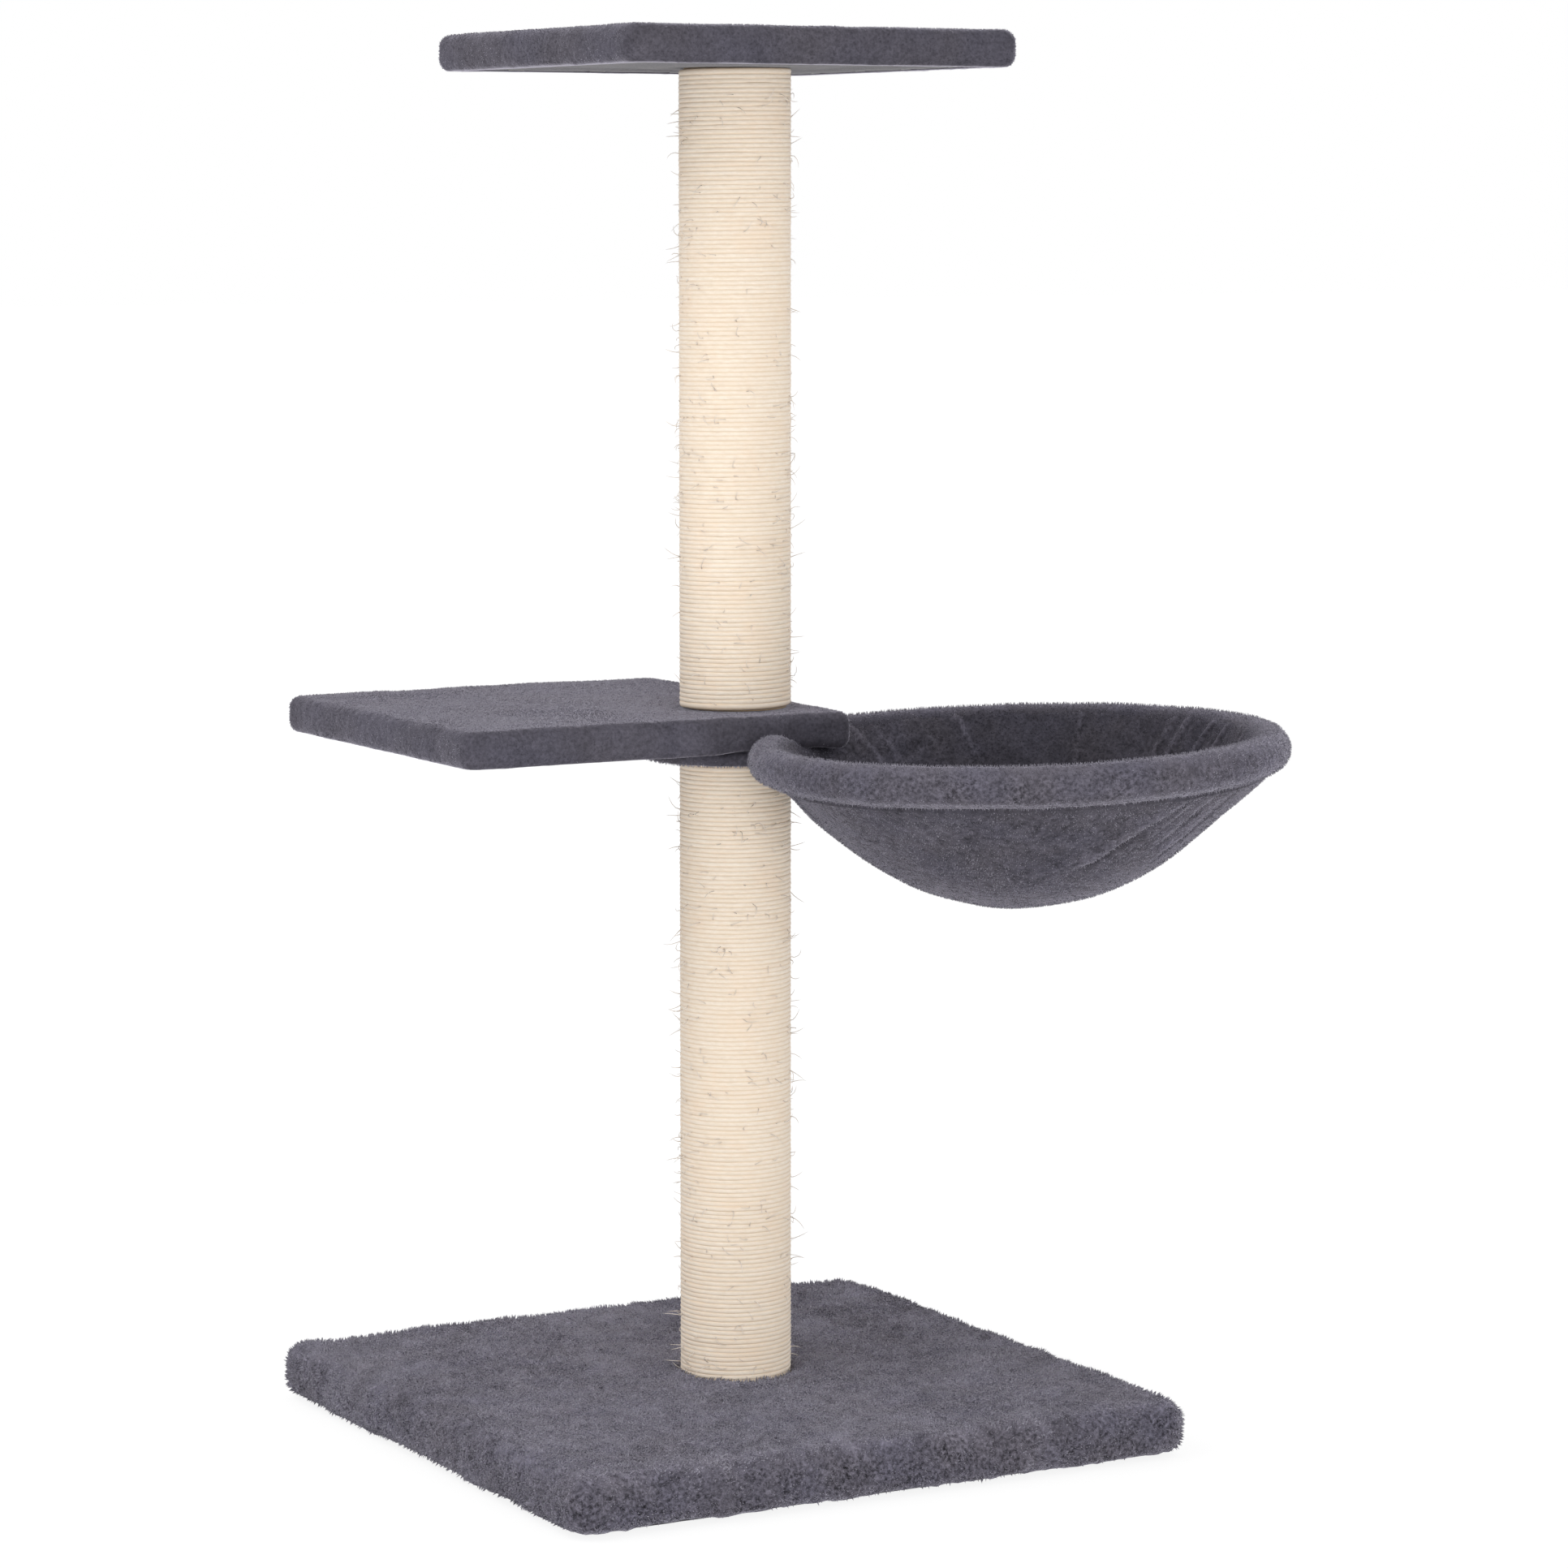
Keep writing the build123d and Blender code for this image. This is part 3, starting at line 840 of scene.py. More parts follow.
plush_cover(BASE, Cover(
    LONG_PLUSH, 11, sunk=(1.3 * MM, 1.3 * MM),
    lumps=[(4.5 * MM, 0.7 * MM), (11 * MM, 0.9 * MM), (28 * MM, 0.9 * MM)],
    pile_foot=2.4 * MM, post_height=LOWER_POST[0] + 0.2 * MM, collar=1.6 * MM,
))
plush_cover(MIDDLE, Cover(
    SHORT_PLUSH, 21, sunk=(0.6 * MM, -0.1 * MM), lumps=[(4 * MM, 0.2 * MM), (16 * MM, 0.4 * MM)],
    pile_foot=MM, post_height=MIDDLE.top - 0.3 * MM,
))
plush_cover(TOP, Cover(
    SHORT_PLUSH, 21, sunk=(0.6 * MM, -0.3 * MM), lumps=[(4 * MM, 0.2 * MM), (16 * MM, 0.4 * MM)],
    pile_foot=MM,
))

# ---- felt under the boards ----

FELT_THICK = 1 * MM
FELT_ROUGH, FELT_ROUGH_SIZE = 0.12 * MM, 9 * MM
FELT_GAP = 0.2 * MM  # between the felt's edge and the line where the cover's hem ends
FELT_GRID = 120
FELT_CORNER = 6 * MM
FELT_RAISED = 0.1 * MM  # above the cover's foot
FELT_LOWEST = 0.02 * MM
FELT_STEP = 4 * MM  # how broad a step it makes beside the hem
FELT_FREE = 2 * MM, 10 * MM  # how far beyond the bracket it can rise
STAPLE_PULL, STAPLE_REACH = 0.4 * MM, 6 * MM  # how deep and how far round a staple pulls the felt in


def staple_places(block, per_side):
    """Where the crowns of a cushion's staples lie."""
    reach = block.board_half - HEM_REACH / 2
    spacing = 2 * reach / per_side
    row = np.array([(-reach + spacing * (index + 0.5), -reach) for index in range(per_side)])
    turns = np.arange(4) * TURN / 4
    return np.concatenate([row @ [aim(turn), aim(turn + TURN / 4)] for turn in turns]) + block.centre


def felt_rise(block, flat, per_side):
    """How far the felt is pressed up at each point: against the board inside the hem, at each staple."""
    within = block.board_half - HEM_REACH - np.abs(flat - block.centre).max(axis=1)
    inside = smooth(within / FELT_STEP)
    clear = fade(reach_of(flat) - BRACKET_RADIUS, *FELT_FREE)
    rise = (block.board_foot - block.foot - FELT_THICK) * inside * clear
    for place in staple_places(block, per_side):
        distance = np.linalg.norm(flat - place, axis=1)
        rise += STAPLE_PULL * bell(distance / STAPLE_REACH) * (1 - inside)
    return rise


def felt_liner(block, per_side):
    """A felt square stapled under a board, with per_side staples along each side."""
    half = block.half - COVER_MARGIN - FELT_GAP
    flat = square_grid(FELT_GRID, half, FELT_CORNER) + block.centre
    height = block.foot + FELT_RAISED + felt_rise(block, flat, per_side)
    height += FELT_ROUGH * noise(np.column_stack([flat, height]), FELT_ROUGH_SIZE, seed=77)
    height = np.maximum(height, block.foot + FELT_LOWEST)
    lower = np.column_stack([flat, height])
    upper = np.column_stack([flat, height + FELT_THICK - FELT_ROUGH])
    faces = grid_faces(FELT_GRID + 1, FELT_GRID + 1)
    border = square_border(FELT_GRID)
    rim = np.stack([border, np.roll(border, -1), np.roll(border, -1) + len(flat), border + len(flat)], -1)
    liner = add_piece(
        f"{block.name}_felt", block.body, np.concatenate([lower, upper]),
        [faces[:, ::-1], faces + len(flat), rim], FELT,
    )
    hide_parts(f"{block.name}_liner")


felt_liner(BASE, 6)
felt_liner(MIDDLE, 4)
felt_liner(TOP, 4)

# ---- rope ----

ROPE_SIDES = 8
ROPE_SQUEEZE = 1.7  # the turns are pressed into each other, which leaves shallow grooves
ROPE_STEPS = 48  # along one turn
ROPE_UNEVEN = 0.12 * MM  # how far turns stray in and out, up and down
ROPE_CHANGE = 300  # how fast that changes up the post, per metre, where its radius counts as 1
ROPE_STRAYS = 0.6, 0.8, 0.25  # how long it stays alike there: in and out, up and down, in thickness
ROPE_THICKER, ROPE_SWELL = 1.02, 0.06  # the rope's thickness against its pitch, and how it varies


def rope_post(name, foot, head, seed):
    """A rope wound round a post from end to end, as one tube along a helix."""
    thick = ROPE_PITCH / 2
    turns = (head - foot - ROPE_PITCH) / ROPE_PITCH
    steps = int(turns * ROPE_STEPS)
    angle = np.arange(steps + 1) / ROPE_STEPS * TURN
    height = foot + thick + angle / TURN * ROPE_PITCH
    loose = np.column_stack([np.cos(angle), np.sin(angle), height * ROPE_CHANGE])
    in_out, up_down, swell = (noise(loose, size, seed + i) for i, size in enumerate(ROPE_STRAYS))
    radius = ROPE_RADIUS - thick + ROPE_UNEVEN * in_out
    height = height + ROPE_UNEVEN * up_down
    section = np.arange(ROPE_SIDES) / ROPE_SIDES * TURN
    swollen = thick * (ROPE_THICKER + ROPE_SWELL * swell)[:, None]
    out = radius[:, None] + swollen * np.cos(section)
    up = height[:, None] + swollen * ROPE_SQUEEZE * np.sin(section)
    points = np.stack([
        out * np.cos(angle)[:, None], out * np.sin(angle)[:, None], np.clip(up, foot, head),
    ], -1).reshape(-1, 3)
    faces = grid_faces(steps + 1, ROPE_SIDES, wrap_columns=True)[:, ::-1]
    start = np.arange(ROPE_SIDES)[None]
    end = (steps * ROPE_SIDES + np.arange(ROPE_SIDES))[None, ::-1]
    rope = add_piece(f"{name}_rope", POST_BODY, points, [faces, start, end], SISAL)
    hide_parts(f"{name}_sisal_rope")
    lay_out_rope(rope, angle * ROPE_RADIUS)


def lay_out_rope(rope, length):
    """A UV map on a rope's walls: metres along it, and the share of a turn round it."""
    steps = len(length) - 1
    row, side = np.divmod(np.arange(steps * ROPE_SIDES), ROPE_SIDES)
    along = np.stack([length[row], length[row], length[row + 1], length[row + 1]], -1)
    around = np.stack([side, side + 1, side + 1, side], -1) / ROPE_SIDES
    walls = np.stack([along, around], -1)[:, ::-1].reshape(-1, 2)
    ends = np.zeros((2 * ROPE_SIDES, 2))
    layer = rope.data.uv_layers.new(name="along_and_around")
    layer.data.foreach_set("uv", np.concatenate([walls, ends]).astype(np.float32).ravel())


@dataclass
class Fibre:
    """How one kind of loose fibre grows from the rope."""

    count: int
    length: tuple  # shortest and longest, in millimetres
    thick: float
    rise: float  # how far they turn up or down
    lift: tuple  # how far they stand off the rope
    bend: float  # how far they curl
    head_room: float  # how far below the post's head they stay, clear of what turns there


SHORT_FIBRE = Fibre(4200, (0.8, 2.6), 0.14 * MM, rise=0.6, lift=(0.15, 0.7), bend=0.35, head_room=4 * MM)
LONG_FIBRE = Fibre(420, (4.5, 12.5), 0.58 * MM, rise=0.5, lift=(0.7, 1.5), bend=0.9, head_room=15 * MM)
FIBRE_FOOT_ROOM = 2 * MM
FIBRE_ROOT = 0.3 * MM  # how deep a fibre starts in the rope
FIBRE_SLANT = (0.4, 1.0)  # how far it leans along the rope
FIBRE_JOINTS = 4
FIBRE_TAPER = 0.6
UP = np.array([0.0, 0.0, 1.0])
ASKEW = 0.1  # so that a fibre that points straight up has a side too


def fibre_faces():
    """The triangles of one fibre: its foot, its walls and its tip."""
    faces = [[2, 1, 0]]
    for joint in range(FIBRE_JOINTS - 1):
        for corner in range(3):
            here, following = 3 * joint + corner, 3 * joint + (corner + 1) % 3
            faces += [[here, following, following + 3], [here, following + 3, here + 3]]
    last = 3 * (FIBRE_JOINTS - 1)
    faces += [[last + corner, last + (corner + 1) % 3, last + 3] for corner in range(3)]
    return np.array(faces)


def fibre_points(spot, heading, length, thick, bend):
    """The points of fibres that start at spots and curl on from their headings."""
    rings = []
    for joint in range(FIBRE_JOINTS):
        aside = unit(np.cross(heading, UP + ASKEW))
        across = np.cross(heading, aside)
        taper = (thick * (1 - FIBRE_TAPER * joint / FIBRE_JOINTS))[:, None]
        for corner in range(3):
            angle = TURN / 3 * corner
            rings.append(spot + taper / 2 * (np.cos(angle) * aside + np.sin(angle) * across))
        spot = spot + heading * (length / FIBRE_JOINTS)[:, None]
        heading = unit(heading + bend / FIBRE_JOINTS * 2)
    return np.stack([*rings, spot], 1)


def fuzz(name, foot, head, seed):
    """Short fibres that stand off the rope, and a few long thin wisps, as one mesh."""
    random = np.random.default_rng(seed)
    short, long = SHORT_FIBRE, LONG_FIBRE
    count = short.count + long.count
    is_long = np.arange(count) >= short.count
    angle = random.uniform(0, TURN, count)
    head_room = np.where(is_long, long.head_room, short.head_room)
    height = random.uniform(foot + FIBRE_FOOT_ROOM, head - head_room, count)
    length = MM * np.where(
        is_long, random.uniform(*long.length, count), random.uniform(*short.length, count))
    rise = np.where(is_long, random.normal(0, long.rise, count), random.normal(0, short.rise, count))
    lift = np.where(is_long, random.uniform(*long.lift, count), random.uniform(*short.lift, count))
    slant = random.choice([-1.0, 1.0], count) * random.uniform(*FIBRE_SLANT, count)
    bend = random.normal(size=(count, 3)) * np.where(is_long, long.bend, short.bend)[:, None]
    outward = np.column_stack([np.cos(angle), np.sin(angle), np.zeros(count)])
    around = np.column_stack([-np.sin(angle), np.cos(angle), np.zeros(count)])
    heading = unit(outward * lift[:, None] + around * slant[:, None] + UP * rise[:, None])
    spot = outward * (ROPE_RADIUS - FIBRE_ROOT) + UP * height[:, None]
    points = fibre_points(spot, heading, length, np.where(is_long, long.thick, short.thick), bend)
    first = points.shape[1] * np.arange(count)[:, None, None]
    faces = (first + fibre_faces()).reshape(-1, 3)
    add_piece(f"{name}_fibres", POST_BODY, points.reshape(-1, 3), [faces], WISP)


for post_name, (post_foot, post_head), post_seed in (
    ("lower_post", LOWER_POST, 31), ("upper_post", UPPER_POST, 41),
):
    rope_post(post_name, post_foot, post_head, post_seed)
    fuzz(post_name, post_foot, post_head, post_seed + 5)

# ---- hammock ----

RING_TURN = Matrix.Rotation(-RING_TILT, 3, "Y")
EDGE_SLOPE = 4  # how steeply the free height rises past the platform's edge


def ring_points(points):
    """Points round the ring's own middle, put where the ring hangs."""
    return points @ np.array(RING_TURN).T + [*RING_CENTRE, RIM_HEIGHT]


def under_platform(points, clearance):
    """The greatest height at each point that stays clear below the middle platform's rounded edge."""
    offset = np.abs(points[:, :2] - MIDDLE.centre) - (MIDDLE.half - MIDDLE.bottom_edge + clearance)
    outward = np.linalg.norm(np.maximum(offset, 0), axis=1)
    edge = MIDDLE.bottom_edge
    curve = edge - np.sqrt(np.maximum(edge**2 - np.minimum(outward, edge) ** 2, 0))
    return MIDDLE.foot - MIDDLE.sag - clearance + curve + EDGE_SLOPE * np.maximum(outward - edge, 0)


def near(angle, middle, width):
    """1 at an angle round the ring in degrees, falling off over a width."""
    return bell(((angle - middle + 180) % 360 - 180) / width)


RIM_STEPS = 320
RIM_SIDES = 40
RIM_SUNK = 0.5 * MM  # below the rim's pile
RIM_LUMPS = [(18 * MM, 0.45 * MM), (5 * MM, 0.2 * MM)]  # (size, height) of its unevenness
RIM_CLEAR = 0.6 * MM  # from the rim's skin to the platform above it
TUFT_CLEAR = 2.0 * MM  # from the roots of its tufts to the platform
LIP_ANGLE = np.radians(-104)
LIP_WIDTH = np.radians(13)
LIP_REACH = 2.2 * MM
# Degrees round the ring: where the rim is slimmest and the bowl hangs steepest, beside the bracket,
# where the rim is fullest, behind the platform's corner, and where painted light makes the rim lighter.
SLACK_SIDE, SLACK_WIDTH = 150, 30
SWELL_SIDE, SWELL_WIDTH = 112, 24
RIM_LIT_SIDE, RIM_LIT_WIDTH = -25, 30
RIM_SLACK = 0.8 * MM
RIM_SWELL = 1.2 * MM
# how strong the painted light on the rim is
RIM_PAINTED_LIGHT = 0.25
INNER_SHADE = 0.75
INNER_FACING = -1.6, -0.5  # how much outward and upward count against the inner side's shade


def rim_points(ring, turn):
    """The rim's points at angles round the ring and round the padding, with the bowl's hem as a lip."""
    lip = LIP_REACH * bell((turn - TURN - LIP_ANGLE) / LIP_WIDTH)
    slack = RIM_SLACK * near(np.degrees(ring), SLACK_SIDE, SLACK_WIDTH)
    swell = RIM_SWELL * near(np.degrees(ring), SWELL_SIDE, SWELL_WIDTH) * smooth(2 * np.sin(turn) - 1)
    reach = RIM_RADIUS - RIM_SUNK - (slack - swell) + lip
    out = RING_RADIUS + reach * np.cos(turn)
    return ring_points(np.column_stack([
        out * np.cos(ring), out * np.sin(ring), reach * np.sin(turn),
    ]))


def inner_shade(outward, up):
    """How dark the rim's inner side looks, which lies in its own shade: 0 on top and outside."""
    return INNER_SHADE * smooth(INNER_FACING[0] * outward + INNER_FACING[1] * up)


def below_platform(roots):
    """Which of the rim's tufts have room under the middle platform."""
    return under_platform(roots, TUFT_CLEAR) > roots[:, 2]


def rim():
    """The padded rim: a plush sleeve round foam, pressed down where the platform lies on it."""
    around = np.arange(RIM_STEPS) / RIM_STEPS * TURN
    section = np.arange(RIM_SIDES) / RIM_SIDES * TURN
    ring, turn = (angles.ravel() for angles in np.meshgrid(around, section, indexing="ij"))
    points = rim_points(ring, turn)
    faces = grid_faces(RIM_STEPS, RIM_SIDES, wrap_rows=True, wrap_columns=True)
    sleeve = add_piece("hammock_rim_plush", MIDDLE_BODY, points, [faces[:, ::-1]],
                       RIM_PLUSH.material)
    displace(sleeve, sum(
        height * noise(points, size, seed=51 + index) for index, (size, height) in enumerate(RIM_LUMPS)))
    # painted light on one side of the rim, and painted shade on its inner side
    lighter = RIM_PAINTED_LIGHT * near(np.degrees(ring), RIM_LIT_SIDE, RIM_LIT_WIDTH)
    give(sleeve, "shade", inner_shade(np.cos(turn), np.sin(turn)) - lighter)
    placed = read_points(sleeve.data)
    placed[:, 2] = np.minimum(placed[:, 2], under_platform(placed, RIM_CLEAR))
    move_to(sleeve, placed)
    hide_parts("hammock_rim_cover", "hammock_rim_foam")
    add_pile("hammock_rim_pile", MIDDLE_BODY, RIM_PLUSH, sleeve, faces, (53, 54), below_platform)


BOWL_ARC = 0.150
BOWL_SLOPE = np.radians(40)
BOWL_CLOTH = 2.4 * MM
BOWL_RINGS = 72
BOWL_START = 0.25  # the first ring's distance from the middle, in steps
BOWL_CROWDED = 0.6  # how much closer together the rings lie towards the rim
BOWL_STEPS = 600
BOWL_REACH = 0.1415  # from the middle out to where the cloth goes into the rim
BOWL_RAISED = 1.0 * MM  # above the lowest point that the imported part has
RUMPLE, RUMPLE_SIZE = 0.5 * MM, 22 * MM

BOWL_DRAW = 0.035  # how far its outside is drawn in on the slack side, as a share of its reach
DRAW_WIDTH = 35
DRAWN = 0.117, 0.022  # from here outwards

# The lining: from LINING_START out the inside leaves the outside. It starts along the bowl's slope,
# runs taut to the rim and goes over it at LINING_TUCK: (height above the rim, degrees above the
# rim's inner side).
LINING_START = 0.112
LINING_LEAVES, LINING_ARRIVES = 12 * MM, 20 * MM  # how far it keeps its first and its last slope
LINING_TUCK = [(-0.1 * MM, 28), (-0.7 * MM, 40), (-2.5 * MM, 52)]


@dataclass
class Crease:
    """A fold in the bowl's cloth along a line from start to end."""

    start: tuple  # (angle in degrees, distance from the ring's middle)
    end: tuple
    width: float
    depth: float
    peak: float = 0.0  # where along it the fold is deepest, from 0 at its start to 1 at its end


CREASES = [
    Crease((-80, 0.138), (-111, 0.084), 3.4 * MM, 2.0 * MM, 0.65),
    Crease((-76, 0.138), (-85, 0.098), 2.6 * MM, 0.9 * MM, 0.3),
    Crease((-69, 0.138), (-79, 0.093), 3.0 * MM, 1.4 * MM, 0.3),
    Crease((-61, 0.138), (-71, 0.082), 4.0 * MM, 2.8 * MM, 0.5),
    Crease((-54, 0.138), (-60, 0.100), 2.6 * MM, 0.9 * MM),
    Crease((-146, 0.138), (-141, 0.112), 2.2 * MM, 0.8 * MM),
    Crease((165, 0.136), (172, 0.104), 2.2 * MM, 1.2 * MM),
    Crease((108, 0.138), (101, 0.104), 2.2 * MM, 1.6 * MM),
    Crease((52, 0.138), (44, 0.098), 2.2 * MM, 1.6 * MM),
    Crease((18, 0.138), (22, 0.102), 2.2 * MM, 1.6 * MM),
]
CREASE_WANDER, CREASE_WANDER_SIZE = 0.8, 17 * MM  # how far a crease strays, in widths
CREASE_UNEVEN, CREASE_UNEVEN_SIZE = 0.4, 9 * MM
CREASE_START = 0.4  # the share of its depth that a crease starts with
CREASE_DARK = 1.5 * MM  # the depth that is fully dark
INNER_CREASE = 0.6  # how much of a crease shows on the inside
CREASES_END = -40 * MM, 15 * MM  # the heights at which they end there

# Folds that stand up on the inside: their angle in degrees at the rim and where they fade out, and
# how clear they are.
INNER_FOLDS = [
    (107, 97, 1.0), (100, 91, 0.4), (86, 78, 0.5), (75, 69, 0.8), (42, 42, 0.5), (14, 20, 0.5),
    (9, 15, 1.0), (-1, 6, 1.0), (-8, -2, 0.8), (-20, -17, 0.5), (-52, -49, 0.5), (-100, -104, 0.8),
    (-131, -127, 0.6), (-160, -164, 0.6),
]
FOLD_RUN = 34 * MM  # from the rim down to where they fade out
FOLD_GROWN, FOLD_WHOLE = 0.25, 0.5  # the shares of that run where they have risen and start to fade
FOLD_WIDTH = 2.6 * MM
FOLD_HEIGHT = 1.2 * MM
FOLD_LIGHT = 1.25

# Painted light on the bowl's inside, where it is made lighter: (degrees round the ring, width, strength).
INSIDE_PAINTED_LIGHT = [(100, 20, 0.5), (22, 20, 0.15)]
INSIDE_LIGHT_STARTS = 50 * MM, 45 * MM  # from the bowl's middle
BOWL_INNER_SHADE = 0.38
HEM_SHADE = 0.5  # right under the rim's hem
HEM_SHADED = 0.136, 3 * MM
LINING_TAUT = -10 * MM, 8 * MM  # the heights at which its rumples end


def groove(distance):
    """A crease's section: a narrow groove, and on its left the broad roll of cloth that hangs over it."""
    return 0.6 * bell(distance / 0.7) - 0.4 * bell((distance - 1.9) / 1.4)


def groove_shade(distance):
    """Painted shade across a groove: dark in its middle, with painted light on its sides, most on the left.
    """
    return bell(distance / 0.6) - 0.5 * bell((distance - 1.9) / 1.3)


def fold(distance):
    """A fold's section: 1 along its middle, with a low swell the other way on both sides."""
    return bell(distance) - 0.45 * bell(np.abs(distance) - 1.7)


def polar(angle, reach):
    """A flat point at an angle in degrees and a distance from the middle."""
    return reach * aim(np.radians(angle))


def creased(flat):
    """How far each point of the bowl's outside is pulled in by the creases, and its shade."""
    depth, shade = np.zeros((2, len(flat)))
    level = np.column_stack([flat, np.zeros(len(flat))])
    wander = CREASE_WANDER * noise(level, CREASE_WANDER_SIZE, seed=66)
    uneven = 1 + CREASE_UNEVEN * noise(level, CREASE_UNEVEN_SIZE, seed=67)
    for crease in CREASES:
        start, end = polar(*crease.start), polar(*crease.end)
        line = end - start
        along = np.clip((flat - start) @ line / (line @ line), 0, 1)
        aside = flat - start - along[:, None] * line
        left = np.sign(line[0] * aside[:, 1] - line[1] * aside[:, 0])
        distance = left * np.linalg.norm(aside, axis=1) / crease.width + wander
        before = CREASE_START + (1 - CREASE_START) * smooth(along / max(crease.peak, 0.01))
        after = 1 - smooth((along - crease.peak) / (1 - crease.peak))
        strength = crease.depth * uneven * before * after
        depth += strength * groove(distance)
        shade += strength / CREASE_DARK * groove_shade(distance)
    return depth, np.clip(shade, -1, 1)


def folded(points):
    """How far the folds stand up on the inside below the rim, and their shade."""
    down = (RIM_RADIUS - points[:, 2]) / FOLD_RUN
    rise, shade = np.zeros((2, len(points)))
    for above, below, clear in INNER_FOLDS:
        aside = (degrees_round(points) - above - (below - above) * down + 180) % 360 - 180
        distance = np.radians(aside) * RING_RADIUS / FOLD_WIDTH
        strength = clear * smooth(down / FOLD_GROWN) * (1 - smooth(down - FOLD_WHOLE))
        rise += FOLD_HEIGHT * strength * fold(distance)
        shade -= FOLD_LIGHT * strength * bell(distance)
    return rise, np.clip(shade, -1, 1)


def bowl_height(reach):
    """The bowl's outer height below the ring's plane at a distance from its middle."""
    shoulder = BOWL_ARC * np.sin(BOWL_SLOPE)
    bottom = BOWL_LOW - RIM_HEIGHT + BOWL_RAISED
    arc = BOWL_ARC - np.sqrt(BOWL_ARC**2 - np.minimum(reach, shoulder) ** 2)
    return bottom + arc + np.maximum(reach - shoulder, 0) * np.tan(BOWL_SLOPE)


def bowl_profile():
    """(reach, height) of the bowl's outside and of its inside, from the middle to the rim."""
    part = (np.arange(BOWL_RINGS) + BOWL_START) / (BOWL_RINGS - 1 + BOWL_START)
    reach = BOWL_REACH * ((1 + BOWL_CROWDED) * part - BOWL_CROWDED * part**2)
    outside = np.column_stack([reach, bowl_height(reach)])
    slope = np.gradient(outside[:, 1], reach)
    outward = np.column_stack([slope, -np.ones(BOWL_RINGS)]) / np.hypot(1, slope)[:, None]
    inside = outside - outward * BOWL_CLOTH
    lining = reach > LINING_START
    tucked = np.array([
        (RIM_RADIUS + above) * aim(TURN / 2 - np.radians(angle)) for above, angle in LINING_TUCK
    ]) + [RING_RADIUS, 0]
    first, last = inside[lining][0], tucked[0]
    leaving, arriving = first + LINING_LEAVES * aim(BOWL_SLOPE), last - LINING_ARRIVES * aim(TURN / 6)
    part = np.linspace(0, 1, lining.sum() - len(tucked) + 1)[:, None]
    shares = (1 - part) ** 3, 3 * part * (1 - part) ** 2, 3 * part**2 * (1 - part), part**3
    taut = sum(share * guide for share, guide in zip(shares, (first, leaving, arriving, last)))
    inside[lining] = np.concatenate([taut, tucked[1:]])
    return outside, inside


def revolve(profile, steps):
    """A profile of (reach, height) turned round the middle, as points (n, 3), one ring after another."""
    around = np.arange(steps) / steps * TURN
    flat = profile[:, None, :1] * np.column_stack([np.cos(around), np.sin(around)])
    return np.concatenate([flat, np.repeat(profile[:, None, 1:], steps, 1)], -1).reshape(-1, 3)


def bowl_surface(profile):
    """The points of one side of the bowl's plain form, and the directions out of it."""
    step = np.gradient(profile, axis=0)
    outward = np.column_stack([step[:, 1], -step[:, 0]]) / np.linalg.norm(step, axis=1)[:, None]
    return revolve(profile, BOWL_STEPS), revolve(outward, BOWL_STEPS)


def bowl_outside(profile):
    """The bowl's outside, creased and drawn in on the slack side, and its shade."""
    points, outward = bowl_surface(profile)
    reach = reach_of(points)
    pull, shade = creased(points[:, :2])
    rumple = RUMPLE * noise(points, RUMPLE_SIZE, seed=61)
    drawn = BOWL_DRAW * near(degrees_round(points), SLACK_SIDE, DRAW_WIDTH)
    drawn *= fade(reach, *DRAWN)
    shade += HEM_SHADE * fade(reach, *HEM_SHADED)
    points = points - outward * (pull - rumple)[:, None]
    return points * (1 - drawn[:, None] * [1, 1, 0]), np.clip(shade, -1, 1)


def bowl_inside(profile):
    """The bowl's inside, with the folds below the rim, and its shade."""
    points, outward = bowl_surface(profile)
    height = points[:, 2]
    pull = INNER_CREASE * creased(points[:, :2])[0]
    pull *= 1 - fade(height, *CREASES_END)
    rise, fold_shade = folded(points)
    rumple = RUMPLE * noise(points, RUMPLE_SIZE, seed=61)
    rumple *= 1 - fade(height, *LINING_TAUT)
    # painted shade over the inside, with painted light along the folds and, further out, on two sides of it
    shade = BOWL_INNER_SHADE + fold_shade
    outer = fade(reach_of(points), *INSIDE_LIGHT_STARTS)
    for middle, width, lighter in INSIDE_PAINTED_LIGHT:
        shade -= lighter * near(degrees_round(points), middle, width) * outer
    return points - outward * (pull + rise - rumple)[:, None], np.clip(shade, -1, 1)


def bowl():
    """The bowl of plush cloth, drawn into creases where it is gathered at the rim."""
    outside, inside = bowl_profile()
    outer_points, outer_shade = bowl_outside(outside)
    inner_points, inner_shades = bowl_inside(inside)
    points = ring_points(np.concatenate([outer_points, inner_points]))
    size = BOWL_RINGS * BOWL_STEPS
    outer = grid_faces(BOWL_RINGS, BOWL_STEPS, wrap_columns=True)
    inner = outer[:, ::-1] + size
    last = (BOWL_RINGS - 1) * BOWL_STEPS + np.arange(BOWL_STEPS)
    hem = np.stack([last, np.roll(last, -1), np.roll(last, -1) + size, last + size], -1)
    caps = np.stack([np.arange(BOWL_STEPS)[::-1], np.arange(BOWL_STEPS) + size])
    cloth = add_piece("hammock_bowl_cloth", MIDDLE_BODY, points, [outer, inner, hem, caps],
                      BOWL_PLUSH.material)
    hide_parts("hammock_bowl")
    give(cloth, "shade", np.concatenate([outer_shade, inner_shades]))
    piles = [
        add_pile(f"hammock_bowl_{side}_pile", MIDDLE_BODY, BOWL_PLUSH, cloth, quads, seeds)
        for side, quads, seeds in (("outer", outer, (62, 63)), ("inner", inner, (64, 65)))
    ]


rim()
bowl()

